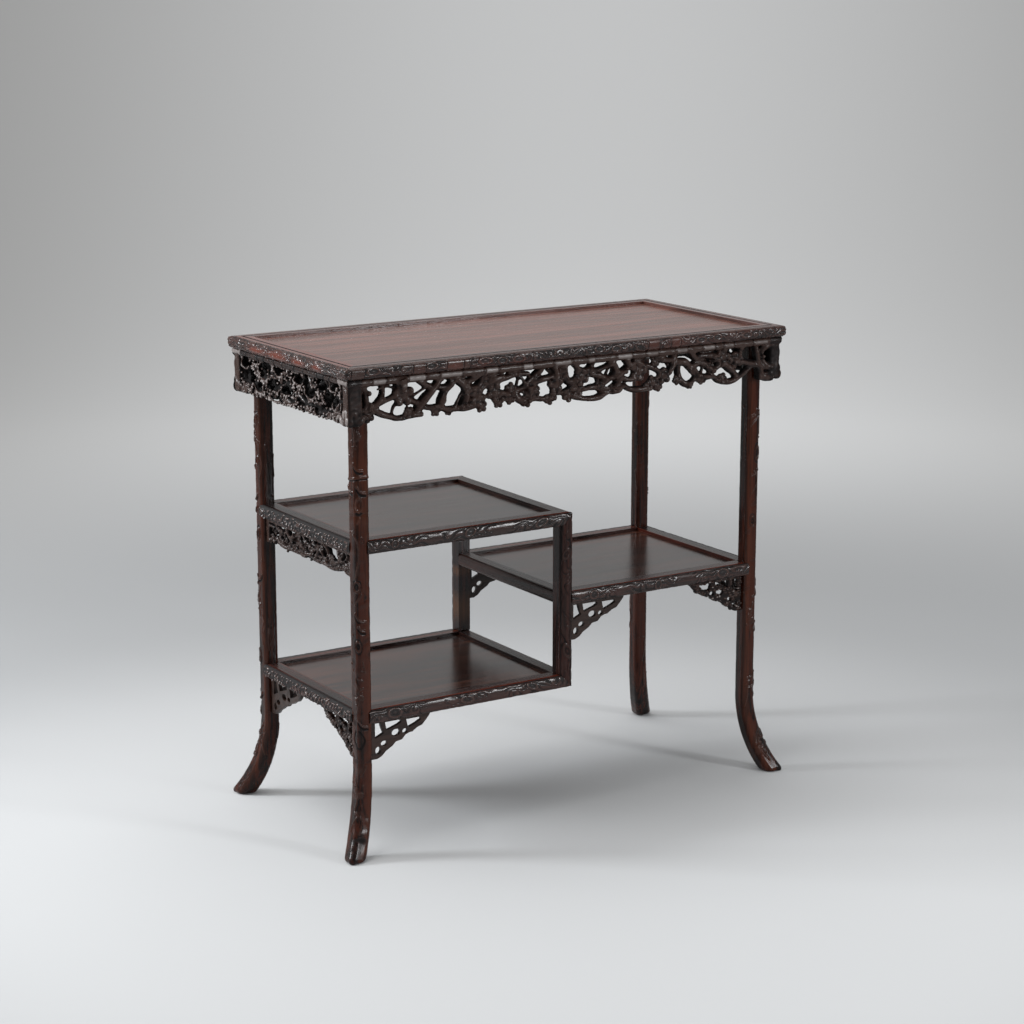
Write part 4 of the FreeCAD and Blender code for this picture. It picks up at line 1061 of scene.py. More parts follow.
def redden_insides(strip):
    """The flanks away from the outer corner are smooth and painted red all the way down, partly rubbed wood
    and partly a painted highlight streak.
    """
    for t, amount in ((LONG_FACE + 8, 0.30), (END_FACE - 8, 0.22)):
        for lap in strip["laps"]:
            strip["worn"] += amount * np.exp(-((strip["t"] - t - lap) / 8.0) ** 2)[None, :]


print("trunk marks ready")

# %% Legs: the front left one, mark by mark
front_left = blank_strip(LEG_RUN, LEG_AROUND, LEG_STEP, closes=True)
bark(front_left, 0.2, 3)
NEAR = OUTER_CORNER + 5
for z, t, seed in [(702, OUTER_CORNER - 2, 61), (273, OUTER_CORNER, 62), (100, OUTER_CORNER - 4, 63)]:
    blossom_patch(front_left, z, t, seed)
for z, t, length, width, turn in [(592, NEAR, 26, 13, 0), (533, LONG_FACE - 2, 13, 7, 35),
                                  (456, NEAR - 6, 20, 14, 0), (356, OUTER_CORNER, 20, 12, 10),
                                  (318, LONG_FACE - 4, 10, 8, 0)]:
    knot(front_left, down(z), t, length, width, 1.4, turn)
trunk_ring(front_left, 634, 3.0)
for z, t, size in [(660, NEAR, 10), (622, NEAR + 6, 9), (622, END_FACE - 2, 8), (412, NEAR + 2, 12),
                   (231, NEAR + 4, 10), (390, LONG_FACE - 4, 7)]:
    torn_bark(front_left, z, t, size)
for marks in [[(548, END_FACE), (532, NEAR - 4), (500, NEAR - 2), (470, NEAR - 8)],
              [(444, NEAR + 2), (426, OUTER_CORNER - 4)], [(152, LONG_FACE), (134, OUTER_CORNER + 2)],
              [(570, OUTER_CORNER + 6), (562, OUTER_CORNER + 2)],
              [(72, END_FACE + 6), (58, NEAR + 2), (36, NEAR)],
              [(64, OUTER_CORNER), (48, END_FACE + 2), (40, END_FACE)],
              [(302, OUTER_CORNER), (298, LONG_FACE - 4)], [(330, OUTER_CORNER + 8), (312, LONG_FACE)]]:
    leg_line(front_left, marks, 1.5, 1.1)
leg_line(front_left, [(212, OUTER_CORNER - 8), (196, OUTER_CORNER - 12), (181, OUTER_CORNER),
                      (196, LONG_FACE - 2), (212, OUTER_CORNER)], 1.3, -1.0)
for z in (671, 600, 546, 428, 374, 325, 314, 240, 170, 166, 120):
    bud(front_left, down(z), END_FACE - 6 + (z % 5), 2.6, 0.9)
redden_insides(front_left)
rub(front_left, down(650), OUTER_CORNER + 2, 30, 14, 0.35)
rub(front_left, down(575), OUTER_CORNER + 2, 24, 14, 0.40)
carve_leg("front_left", -1, -1, front_left)

# %% Legs: the other three, with the same marks scattered by chance
def old_trunk(seed):
    """A leg strip with marks round its outer corner and a few twigs and buds on the inner faces."""
    strip = blank_strip(LEG_RUN, LEG_AROUND, LEG_STEP, closes=True)
    bark(strip, 0.07, seed)
    chance = np.random.default_rng(seed)
    for z in (chance.uniform(640, 680), chance.uniform(150, 190)):
        leg_line(strip, [(z + 10, OUTER_CORNER), (z, LONG_FACE - 2), (z - 9, LONG_FACE + 8)], 1.6, 1.1)
    for z in np.linspace(690, 60, 7) + chance.uniform(-22, 22, 7):
        t = OUTER_CORNER + chance.uniform(-14, 14)
        knot(strip, down(z), t, chance.uniform(18, 30), chance.uniform(10, 13), 1.3, chance.uniform(-15, 15))
    for z in chance.uniform(60, 700, 8):
        torn_bark(strip, z, OUTER_CORNER + chance.uniform(-16, 16), chance.uniform(7, 11))
    for z in chance.uniform(40, 700, 4):
        blossom_patch(strip, z, OUTER_CORNER + chance.uniform(-15, 15), chance.integers(1000))
    for z in chance.uniform(60, 690, 10):
        t = chance.uniform(0, LEG_AROUND)
        marks = [(z, t), (z - 18, t + chance.uniform(-6, 6)), (z - 40, t + chance.uniform(-8, 8))]
        leg_line(strip, marks, 1.3, 0.8)
    for z in chance.uniform(150, 700, 9):
        bud(strip, down(z), chance.uniform(0, LEG_AROUND), chance.uniform(1.8, 2.8), 0.8)
    redden_insides(strip)
    return strip


for place, side_x, side_y, seed in [("front_right", 1, -1, 71), ("back_left", -1, 1, 82),
                                    ("back_right", 1, 1, 93)]:
    carve_leg(place, side_x, side_y, old_trunk(seed))

# %% [markdown]
# Under the top hang aprons of pierced plum branches, cut right through the board and then rounded, so
# that twigs cross over and under one another. A flat board with holes would look sawn, not carved. Here
# each branch is a soft curve with its own thickness and depth, the blossoms are modelled once and copied,
# and a voxel remesh melts them into one piece of wood. The drawings are those of the solid boards: half a
# branch's width, then points along it in millimetres from the board's middle and its lower edge, and for
# a blossom its place and radius.

# %% Openwork: the branches of the long aprons
LONG_BRANCHES = [
    (4, [(-420, 20), (-385, 28), (-360, 38), (-340, 44)]),
    (4, [(-392, 28), (-372, 17), (-352, 10), (-335, 5), (-312, 9), (-294, 9)]),
    (4, [(-404, 70), (-398, 51), (-396, 34), (-402, 22)]),
    (4, [(-370, 70), (-366, 51), (-374, 38), (-388, 28)]),
    (8, [(-336, 70), (-332, 48)]),
    (4, [(-322, 36), (-300, 26), (-288, 19), (-262, 17), (-245, 10)]),
    (5, [(-306, 12), (-290, 33), (-272, 51), (-256, 70)]),
    (4, [(-310, 70), (-290, 57), (-270, 50), (-240, 52), (-226, 70)]),
    (5, [(-238, 54), (-250, 41), (-258, 28), (-262, 17)]),
    (5, [(-228, 60), (-216, 46), (-211, 31), (-216, 16), (-224, 11)]),
    (4, [(-248, 12), (-225, 11), (-208, 9), (-190, 16)]),
    (4, [(-222, 54), (-205, 55), (-190, 62), (-172, 70)]),
    (5, [(-214, 42), (-200, 41), (-188, 44), (-180, 56), (-178, 70)]),
    (5, [(-192, 30), (-175, 44), (-160, 52), (-140, 56)]),
    (4, [(-162, 34), (-150, 48), (-135, 54), (-110, 57), (-88, 55)]),
    (4, [(-166, 70), (-156, 58), (-146, 52)]),
    (5, [(-126, 70), (-116, 55)]),
    (4, [(-150, 33), (-135, 26), (-116, 29), (-92, 36), (-66, 44), (-40, 48)]),
    (4, [(-98, 38), (-80, 50), (-68, 58), (-60, 70)]),
    (5, [(-118, 28), (-112, 16), (-100, 11)]),
    (5, [(-90, 36), (-88, 21), (-92, 12)]),
    (4, [(-100, 9), (-80, 13), (-60, 11), (-38, 14)]),
    (5, [(-42, 70), (-38, 51), (-38, 34)]),
    (5, [(-20, 70), (-18, 48), (-10, 36), (4, 36)]),
    (4, [(-42, 20), (-22, 18), (-2, 24), (8, 20)]),
    (4, [(-4, 70), (8, 56), (30, 53), (42, 70)]),
    (4, [(30, 53), (46, 49), (62, 53), (76, 61), (84, 70)]),
    (4, [(20, 46), (45, 42), (62, 36), (80, 33), (95, 33), (110, 28), (128, 30)]),
    (5, [(76, 62), (84, 46), (80, 33)]),
    (5, [(122, 56), (104, 44), (92, 40), (82, 34)]),
    (5, [(102, 70), (112, 50)]),
    (4, [(112, 52), (140, 62), (165, 62), (180, 56), (206, 54)]),
    (4, [(130, 54), (150, 48), (165, 41), (180, 33)]),
    (4, [(18, 20), (40, 22), (55, 16), (70, 11), (88, 12), (100, 18), (115, 11), (130, 9), (152, 10)]),
    (5, [(95, 33), (86, 18), (76, 12)]),
    (4, [(-8, 12), (20, 4), (50, 4), (70, 11)]),
    (5, [(64, 36), (56, 24), (48, 20)]),
    (5, [(204, 70), (206, 52), (198, 38), (188, 30)]),
    (5, [(206, 50), (226, 48), (240, 38), (252, 28), (259, 20)]),
    (4, [(214, 48), (218, 26), (228, 11), (238, 5)]),
    (4, [(259, 20), (246, 13), (234, 6)]),
    (5, [(238, 70), (250, 53), (262, 55), (290, 54)]),
    (5, [(240, 38), (270, 42), (282, 31), (292, 28)]),
    (4, [(259, 20), (275, 18), (290, 17), (305, 8), (330, 5), (345, 11), (360, 18), (376, 28)]),
    (6, [(286, 54), (304, 48)]),
    (5, [(290, 28), (310, 36), (325, 28), (335, 20), (345, 11)]),
    (5, [(332, 38), (350, 38), (370, 33), (390, 28), (418, 20)]),
    (5, [(342, 46), (350, 62), (348, 70)]),
    (4, [(382, 70), (384, 51), (389, 28)]),
    (5, [(416, 62), (402, 60), (396, 46), (402, 30), (416, 22)]),
    (6, [(392, 26), (400, 8), (418, 6)]),
]
print("long branches:", len(LONG_BRANCHES))

# %% Openwork: blossoms and crossing twigs of the long aprons
LONG_BLOSSOMS = [
    (-330, 44, 19), (-320, 14, 10), (-270, 11, 9), (-394, 15, 11), (-245, 8, 7), (-208, 38, 9),
    (-190, 26, 15), (-183, 11, 11), (-158, 31, 15), (-150, 14, 10), (-175, 56, 9), (-127, 34, 11),
    (-128, 18, 10), (-95, 11, 11), (-78, 26, 10), (-50, 10, 10), (-38, 33, 15), (-12, 13, 12),
    (-25, 54, 9), (12, 41, 16), (8, 20, 11), (48, 24, 9), (130, 41, 17), (160, 18, 13), (172, 10, 9),
    (185, 28, 14), (165, 51, 9), (75, 16, 8), (212, 18, 9), (240, 6, 7), (265, 14, 9), (310, 50, 15),
    (338, 42, 15), (310, 12, 10), (282, 34, 9),
]
CROSSING_TWIGS = [
    (2.8, [(-352, 8), (-347, 22), (-336, 36)]), (2.6, [(-316, 36), (-300, 46), (-280, 56)]),
    (2.8, [(-236, 10), (-226, 28), (-212, 42)]), (2.4, [(-296, 16), (-283, 30), (-276, 46)]),
    (2.6, [(226, 46), (240, 30), (252, 22)]), (2.4, [(-378, 56), (-362, 60), (-340, 54)]),
]
print("long blossoms and crossing twigs:", len(LONG_BLOSSOMS), len(CROSSING_TWIGS))

# %% Openwork: the side aprons
SIDE_BRANCHES = [
    (4, [(-200, 38), (-180, 42), (-160, 46), (-130, 49), (-110, 44)]),
    (4, [(-185, 30), (-170, 21), (-150, 18), (-132, 26), (-112, 36), (-90, 38)]),
    (5, [(-190, 60), (-186, 40), (-178, 20), (-186, 8)]),
    (5, [(-150, 70), (-138, 52), (-120, 40), (-100, 34), (-82, 24)]),
    (4, [(-90, 38), (-70, 46), (-50, 49), (-30, 46), (-10, 40), (8, 44)]),
    (5, [(-100, 30), (-88, 16), (-70, 10), (-50, 14)]),
    (4, [(-60, 70), (-56, 52), (-62, 36), (-50, 22), (-35, 18)]),
    (4, [(-40, 30), (-20, 38), (0, 50), (14, 60), (20, 70)]),
    (4, [(-20, 70), (-14, 56), (0, 46), (16, 40)]),
    (5, [(24, 34), (36, 24), (50, 18), (70, 17), (90, 20), (108, 24)]),
    (4, [(36, 24), (30, 40), (36, 56), (52, 60)]),
    (4, [(50, 34), (66, 44), (84, 50), (100, 56), (112, 62)]),
    (5, [(60, 70), (70, 56), (86, 44), (100, 40), (112, 34)]),
    (4, [(108, 24), (122, 36), (134, 50), (142, 60), (146, 70)]),
    (4, [(140, 34), (152, 28), (166, 20), (180, 16)]),
    (5, [(120, 70), (126, 56), (120, 44)]),
    (5, [(150, 46), (162, 40), (174, 48), (172, 62), (160, 64)]),
    (5, [(150, 14), (160, 24), (170, 36), (190, 40)]),
    (5, [(-186, 10), (-160, 12), (-140, 10), (-120, 10), (-90, 8), (-70, 10)]),
    (5, [(-50, 12), (-30, 8), (-10, 12), (10, 6), (30, 6), (60, 10), (80, 6), (100, 8), (120, 10), (140, 12),
         (180, 10)]),
]
SIDE_BLOSSOMS = [
    (-192, 12, 12), (-175, 8, 8), (-160, 30, 8), (-152, 10, 9), (-136, 14, 9), (-118, 10, 9),
    (-100, 14, 10), (-84, 10, 8), (-64, 18, 9), (-46, 28, 8), (-44, 9, 8), (-26, 16, 10), (-6, 38, 12),
    (-8, 16, 9), (10, 11, 11), (26, 12, 10), (8, 58, 7), (46, 10, 8), (58, 22, 9), (76, 10, 8),
    (92, 14, 10), (110, 10, 9), (112, 36, 10), (90, 34, 9), (128, 14, 9), (146, 14, 9), (164, 10, 9),
    (134, 56, 7), (70, 58, 7), (-76, 34, 9), (-104, 44, 8), (-146, 58, 7), (156, 52, 8), (184, 12, 12),
    (190, 44, 8), (-192, 46, 8),
]
print("side branches and blossoms:", len(SIDE_BRANCHES), len(SIDE_BLOSSOMS))

# %% Openwork: the small board under the upper shelf
SHELF_BRANCHES = [
    (4, [(-152, 8), (-130, 10), (-112, 12), (-96, 8), (-70, 6), (-40, 5), (-14, 7), (0, 12), (10, 6),
         (36, 6)]),
    (4, [(36, 6), (60, 8), (86, 5), (106, 8), (122, 12), (134, 8), (150, 5)]),
    (3, [(-150, 34), (-130, 32), (-116, 28), (-104, 14)]),
    (3, [(-132, 42), (-120, 36), (-100, 32), (-84, 32)]),
    (4, [(-80, 42), (-72, 30), (-60, 18), (-46, 8)]),
    (4, [(-66, 26), (-48, 34), (-36, 38), (-28, 42)]),
    (4, [(-50, 16), (-30, 24), (-16, 18), (-6, 10)]),
    (3, [(-24, 42), (-10, 30), (4, 26), (20, 22)]),
    (3, [(8, 42), (20, 36), (34, 32), (48, 22), (52, 8)]),
    (4, [(20, 8), (32, 20), (36, 30)]),
    (4, [(56, 42), (64, 30), (62, 10)]),
    (4, [(66, 24), (84, 16), (100, 18), (112, 26), (116, 42)]),
    (4, [(100, 42), (108, 30), (120, 22), (136, 14)]),
    (4, [(128, 42), (134, 28), (146, 14), (150, 6)]),
]
SHELF_BLOSSOMS = [
    (-118, 14, 7), (-98, 12, 8), (-84, 20, 7), (-72, 10, 7), (-56, 12, 8), (-40, 12, 7), (-28, 14, 8),
    (-36, 30, 6), (-12, 12, 7), (8, 18, 8), (22, 10, 7), (40, 12, 7), (56, 12, 7), (76, 12, 8), (90, 12, 7),
    (104, 12, 8), (120, 14, 7), (-100, 30, 7), (44, 32, 7), (80, 22, 7), (112, 34, 6), (136, 14, 8),
    (-134, 14, 8), (28, 24, 6), (-14, 24, 6),
]
print("shelf branches and blossoms:", len(SHELF_BRANCHES), len(SHELF_BLOSSOMS))

# %% Openwork: one blossom and one bud, modelled once
def model_blossom():
    """Five flattened petals about a raised eye, one millimetre in radius, facing -Y."""
    bpy.ops.object.select_all(action="DESELECT")
    petals = []
    for k in range(5):
        angle = 2 * math.pi * k / 5 + math.pi / 2
        bpy.ops.mesh.primitive_uv_sphere_add(segments=14, ring_count=8, radius=1.0)
        petal = bpy.context.object
        petal.scale = (0.44, 0.36, 0.40)
        petal.rotation_euler = (0.0, -angle, 0.0)
        petal.location = (0.56 * math.cos(angle), 0.0, 0.56 * math.sin(angle))
        petals.append(petal)
    bpy.ops.mesh.primitive_uv_sphere_add(segments=12, ring_count=8, radius=1.0)
    eye = bpy.context.object
    eye.scale = (0.30, 0.36, 0.30)
    for petal in petals:
        petal.select_set(True)
    bpy.ops.object.join()
    bpy.ops.object.transform_apply(location=True, rotation=True, scale=True)
    eye.name = "blossom_pattern"
    return eye


def model_bud():
    """A ball one millimetre in radius, for buds, berries and lobes."""
    bpy.ops.object.select_all(action="DESELECT")
    bpy.ops.mesh.primitive_uv_sphere_add(segments=12, ring_count=8, radius=1.0)
    bpy.context.object.name = "bud_pattern"
    return bpy.context.object


def set_copy(pattern, place, size, turn=0.0):
    """One copy of a pattern, at its place on the board: (along, depth, height), sizes on the same axes."""
    copy = bpy.data.objects.new("copy", pattern.data.copy())
    bpy.context.scene.collection.objects.link(copy)
    copy.location = place
    copy.rotation_euler = (0.0, math.radians(turn), 0.0)
    copy.scale = size
    return copy


blossom_pattern, bud_pattern = model_blossom(), model_bud()
print("blossom faces:", len(blossom_pattern.data.polygons), "bud faces:", len(bud_pattern.data.polygons))

# %% Openwork: grow the branches and twigs
def grow_branches(branches, slim, depth, swing, deepen):
    """Soft tubes along the drawn lines, in millimetres; deepen stretches their section through the board."""
    curve = bpy.data.curves.new("branches", "CURVE")
    curve.dimensions = "3D"
    curve.bevel_depth = 1.0
    curve.bevel_resolution = 2
    curve.resolution_u = 5
    curve.use_fill_caps = True
    for number, (half_width, points) in enumerate(branches):
        spline = curve.splines.new("BEZIER")
        spline.bezier_points.add(len(points) - 1)
        for k, (point, (x, h)) in enumerate(zip(spline.bezier_points, points)):
            sway = swing * math.sin(2.4 * number + 1.7 * k)
            point.co = (x, (depth + sway) / deepen, h)
            point.handle_left_type = point.handle_right_type = "AUTO"
            point.radius = slim * half_width * (1.0 + 0.16 * math.sin(5.1 * number + 2.3 * k))
    holder = bpy.data.objects.new("branches", curve)
    bpy.context.scene.collection.objects.link(holder)
    pick(holder)
    bpy.ops.object.convert(target="MESH")
    holder = bpy.context.object
    holder.scale = (1.0, deepen, 1.0)
    bpy.ops.object.transform_apply(location=False, rotation=False, scale=True)
    return holder


def small_twigs(branches, count, seed):
    """Thin twigs that cross the wider openings, each from one branch to another close by."""
    chance = np.random.default_rng(seed)
    places = [(number, x, h) for number, (_, row) in enumerate(branches) for x, h in row]
    twigs = []
    while len(twigs) < count:
        (a, x0, h0), (b, x1, h1) = (places[k] for k in chance.integers(len(places), size=2))
        if a != b and 12 < math.hypot(x1 - x0, h1 - h0) < 30:
            bow = chance.uniform(-4, 4)
            middle = ((x0 + x1) / 2 + bow, (h0 + h1) / 2 + bow)
            twigs.append((chance.uniform(2.2, 3.0), [(x0, h0), middle, (x1, h1)]))
    return twigs


print("branch tools ready")

# %% Openwork: set blossoms, buds and the lobes of an inner layer
BLOSSOM_TURN = 40


def set_blossoms(blossoms, depth, thick):
    """A copy of the blossom at each drawn place, each turned a little further than the last."""
    return [set_copy(blossom_pattern, (x, depth, h), (r, thick * r, r), BLOSSOM_TURN * k)
            for k, (x, h, r) in enumerate(blossoms)]


def set_buds(branches, count, size, depth, seed):
    """Buds scattered along the branches, on the side that is seen."""
    chance = np.random.default_rng(seed)
    buds = []
    for _ in range(count):
        _, points = branches[chance.integers(len(branches))]
        k = chance.integers(len(points) - 1)
        share = chance.uniform()
        x, h = (a * (1 - share) + b * share + chance.uniform(-6, 6) for a, b in zip(points[k], points[k + 1]))
        r = chance.uniform(*size)
        buds.append(set_copy(bud_pattern, (x, chance.uniform(*depth), max(h, 2.0)), (r, r, r)))
    return buds


def set_foliage(half, tall, spacing, depth, seed):
    """Flat lobes of an inner layer, behind the branches, with some left out so that light comes through."""
    chance = np.random.default_rng(seed)
    lobes = []
    for x in np.arange(-half, half, spacing):
        for h in np.arange(12.0, tall - 8, spacing):
            if chance.uniform() < 0.80:
                place = (x + chance.uniform(-4, 4), depth, h + chance.uniform(-4, 4))
                lobes.append(set_copy(bud_pattern, place, (chance.uniform(8, 11), 3.5, chance.uniform(7, 10)),
                                      chance.uniform(0, 180)))
    return lobes


print("blossom tools ready")

# %% [markdown]
# Along the top of each apron runs a rod like cane, carved as rounded lengths that meet end to end. One
# long cylinder would look like a pipe, so each length has its own rounded ends on a thinner core. At each
# end of a board is a solid corner, mitred to the next board, with leaves or a flat block at its foot.

# %% Openwork: the jointed rod and the blocks
ROD_PROUD, ROD_CORE = 3.4, 0.66


def bevel_selected(offset):
    """Rounds the selected edges and leaves edit mode."""
    bpy.ops.mesh.bevel(offset=offset, segments=3, affect="EDGES")
    bpy.ops.object.mode_set(mode="OBJECT")


def rod_ends(half, seed):
    """Where the lengths of a rod meet."""
    chance = np.random.default_rng(seed)
    ends = [-half]
    while ends[-1] < half - 40:
        ends.append(ends[-1] + chance.uniform(16, 46))
    ends[-1] = half
    return ends


def jointed_rod(h, radius, ends):
    """The rod along the top of a board: rounded lengths like cane, end to end on a thin core."""
    lengths = [(a, b, radius, 2.2) for a, b in zip(ends, ends[1:])]
    lengths.append((ends[0], ends[-1], ROD_CORE * radius, 0.5))
    rods = []
    for start, stop, size, ease in lengths:
        bpy.ops.object.select_all(action="DESELECT")
        bpy.ops.mesh.primitive_cylinder_add(vertices=20, radius=size, depth=stop - start,
                                            location=((start + stop) / 2, radius - ROD_PROUD, h),
                                            rotation=(0, math.pi / 2, 0))
        bpy.ops.object.transform_apply(location=True, rotation=True, scale=True)
        bpy.ops.object.mode_set(mode="EDIT")
        bpy.ops.mesh.select_all(action="DESELECT")
        bpy.ops.mesh.edges_select_sharp(sharpness=math.radians(60))
        bevel_selected(ease)
        rods.append(bpy.context.object)
    return rods


def block(x0, x1, d0, d1, h0, h1, ease):
    """A plain block of wood with eased edges; its two ends along the board come in either order."""
    x0, x1 = sorted((x0, x1))
    bpy.ops.object.select_all(action="DESELECT")
    bpy.ops.mesh.primitive_cube_add(size=1.0, location=((x0 + x1) / 2, (d0 + d1) / 2, (h0 + h1) / 2),
                                    scale=(x1 - x0, d1 - d0, h1 - h0))
    piece = bpy.context.object
    bpy.ops.object.transform_apply(location=True, rotation=True, scale=True)
    bpy.ops.object.mode_set(mode="EDIT")
    bpy.ops.mesh.select_all(action="SELECT")
    bevel_selected(ease)
    return piece


print("rod and blocks ready")

# %% Openwork: melt the pieces into one skin of wood
def finish_with(piece, kind, **settings):
    """Adds one modifier to the active piece and applies it."""
    modifier = piece.modifiers.new(kind.lower(), kind)
    for key, value in settings.items():
        setattr(modifier, key, value)
    bpy.ops.object.modifier_apply(modifier=modifier.name)


def melt(pieces, name, voxel):
    """Joins the pieces, turns them into metres, remeshes them and takes the steps off the surface."""
    bpy.ops.object.select_all(action="DESELECT")
    for piece in pieces:
        piece.select_set(True)
    bpy.context.view_layer.objects.active = pieces[0]
    bpy.ops.object.join()
    board = bpy.context.object
    board.name = name
    bpy.ops.object.transform_apply(location=True, rotation=True, scale=True)
    board.scale = (MM, MM, MM)
    bpy.ops.object.transform_apply(location=True, rotation=True, scale=True)
    finish_with(board, "REMESH", mode="VOXEL", voxel_size=voxel * MM)
    finish_with(board, "SMOOTH", factor=0.5, iterations=2)
    return board


print("ready to melt")

# %% [markdown]
# The side aprons are denser than the long ones: an inner layer shows behind the branches, berries cover
# the wood, and dark hollows, some with curled petals round them, stand open between. The hollows are
# drawn once, and both the berries, which keep clear of them, and the finish, which darkens them with
# painted shade, measure from the same list.

# %% Openwork: hollows, curled petals and berries of the side aprons
HOLLOWS = [
    (-162, 55, 14, 9), (-150, 35, 20, 12), (-92, 43, 14, 8), (-88, 60, 14, 5), (-41, 55, 12, 6),
    (-57, 31, 16, 8), (31, 52, 16, 7), (62, 56, 13, 8), (71, 37, 17, 9), (115, 58, 14, 9), (150, 60, 12, 9),
    (137, 38, 11, 12), (162, 31, 14, 12), (46, 20, 16, 7), (-54, 10, 16, 5), (-8, 34, 15, 9),
    (-112, 20, 15, 8), (104, 17, 15, 7), (0, 14, 13, 6),
]


def inside_hollows(x, h):
    """How far into the nearest hollow each place lies: one on its rim, less inside."""
    return np.min([np.hypot((x - a) / long, (h - b) / wide) for a, b, long, wide in HOLLOWS], axis=0)


def set_scrolls(seed):
    """Curled petals: a C-shaped rib round the lower side of every other hollow of a dense board."""
    chance = np.random.default_rng(seed)
    scrolls = []
    for x, h, long, wide in HOLLOWS[::2]:
        start = math.radians(chance.uniform(115, 175))
        turns = [start + math.radians(215) * k / 7 for k in range(8)]
        scrolls.append((2.1, [(x + (long + 1) * math.cos(a), h + (wide + 1) * math.sin(a)) for a in turns]))
    return [grow_branches(scrolls, 1.0, 2.6, 0.8, 1.0)]


def set_berries(half, tall, seed):
    """Oval berries over all the wood between the hollows."""
    chance = np.random.default_rng(seed)
    berries = []
    for row, h in enumerate(np.arange(5.0, tall - 12, 5.4)):
        for x in np.arange(-half + 26 + 4 * (row % 2), half - 24, 8.6):
            a, b = x + chance.normal(0, 1.5), h + chance.normal(0, 0.8)
            if inside_hollows(a, b) > 1.25:
                berries.append(set_copy(bud_pattern, (a, chance.uniform(1.0, 4.0), b), (3.7, 2.8, 2.3)))
    return berries


print("hollows:", len(HOLLOWS))

# %% [markdown]
# A remeshed board is soft all over, like wood before the last, small gouges. So its points are moved once
# more: petals are parted and dished, the leafy corner is fluted, and every face keeps slight gouge marks.
# A bump in the material would be quicker, but it is lost from the side. The same heights then paint the
# finish, with painted light and shade: lighter on ridges and on faces turned to the front, darker in the
# cuts and deep in the board.

# %% Openwork: petals, corner leaves and the tones of the rod
# Tones of the rod's lengths, scaled by how far they face the front: painted light, and above about 0.85 a
# pale painted highlight.
ROD_TONES_AND_SHEEN = {"dense": [0.33, 0.09, 0.21, 0.39, 0.0, 0.27], "open": [1.30, 1.05, 1.35, 0.95, 1.40, 1.10]}


def cut_petals(local, blossoms):
    """How far each point stands up or lies back for the petals, in millimetres."""
    carved = np.zeros(len(local))
    for number, (x, h, radius) in enumerate(blossoms):
        dx, dh = local[:, 0] - x, local[:, 2] - h
        r = np.hypot(dx, dh) / radius
        face = (r < 1.15) & (local[:, 1] < 11.0)
        angle = np.arctan2(dh, dx) - math.pi / 2 + math.radians(BLOSSOM_TURN * number)
        parting = np.exp(-(1 - np.cos(5 * (angle + math.pi / 5))) / 0.12) * np.clip(3 * r - 0.9, 0, 1)
        dish = np.exp(-((r - 0.52) / 0.15) ** 2)
        lip = np.exp(-((r - 0.86) / 0.12) ** 2) * (1 - parting)
        eye = np.exp(-(r / 0.22) ** 2)
        carved += np.where(face, 1.0 * eye + 0.8 * lip - 1.5 * parting - 1.0 * dish, 0.0)
    return carved


def flute_leaves(local, half, leafy):
    """How deep the flutes of the leafy corner are cut at each point."""
    inset = half - np.abs(local[:, 0])
    fan = np.arctan2(inset - 8, 58 - local[:, 2])
    leaves = np.clip((inset - 4) / 8, 0, 1) * np.clip((local[:, 2] - 26) / -8, 0, 1)
    leaves *= leafy * local[:, 0] > half - 42
    return 2.4 * leaves * np.exp(-(np.sin(7 * fan) / 0.40) ** 2)


def light_and_tone_rod(relief, local, facing, half, rod, dense):
    """Gives the lengths of the rod their own tones, painted lighter where they face the front and towards one
    end, a painted highlight, and dark where they meet.
    """
    height, radius, ends = rod
    tones = np.array(ROD_TONES_AND_SHEEN["dense" if dense else "open"])
    number = np.clip(np.searchsorted(ends, local[:, 0]), 1, len(ends) - 1)
    meeting = np.abs(local[:, 0][:, None] - np.array(ends)[None, :]).min(axis=1)
    tone = tones[number % len(tones)] * facing * (1.0 - 0.07 * local[:, 0] / half)
    tone -= 0.2 + 0.8 * np.exp(-(meeting / 1.8) ** 2)
    on_rod = (np.abs(local[:, 2] - height) < radius + 0.6) & (local[:, 1] < 6.0)
    on_rod &= np.abs(local[:, 0]) < half - 30
    return np.where(on_rod, tone, relief)


print("details ready")

# %% Openwork: cut the details
def cut_details(board, blossoms, half=None, rod=None, dense=False, leafy=0):
    """Cuts and paints a board that still lies in its own plane.

    half and rod are given for aprons: half a board's length, and a rod's height, radius and meeting places.
    A dense board gets painted shade, near black, in its hollows and a pale painted highlight on its foremost
    points.
    """
    points, directions = read_points(board.data)
    local = points / MM
    carved = cut_petals(local, blossoms)
    ends = np.zeros(len(local))
    if half:
        ends = np.clip((np.abs(local[:, 0]) - half + 26) / 4, 0, 1)
        carved -= flute_leaves(local, half, leafy)
    gouge = np.array([noise.noise(Vector(p) * 0.13) for p in local])
    local[:, 1] -= np.clip(carved, -2.6, 1.4)
    local += directions * (0.5 * gouge)[:, None]
    write_points(board.data, local * MM)
    facing = np.clip(-directions[:, 1], 0, 1)
    # Painted light and shade: lighter where a face turns to the front and on the ridges of the cuts, darker
    # the deeper a point lies and in the cuts; the ends of the board are also made darker.
    relief = 1.1 * facing - 0.55 - 0.045 * local[:, 1] + 0.25 * carved + 0.25 * gouge - 0.75 * ends
    # A pale painted highlight on the foremost points, and painted shade deeper in and inside the hollows.
    if dense:
        relief += 0.30 * np.clip(3.0 - local[:, 1], 0, 5) - 0.12 * np.clip(local[:, 1] - 3.0, 0, 9) - 0.15
        relief -= 1.5 * np.clip(1.1 - inside_hollows(local[:, 0], local[:, 2]), 0, 0.6) * (local[:, 1] > 4.0)
    if rod:
        relief = light_and_tone_rod(relief, local, facing, half, rod, dense)
    paint_points(board.data, "relief", np.clip(relief, -1.0, 1.2))
    paint_points(board.data, "worn", np.zeros(len(local)))


print("ready to cut")

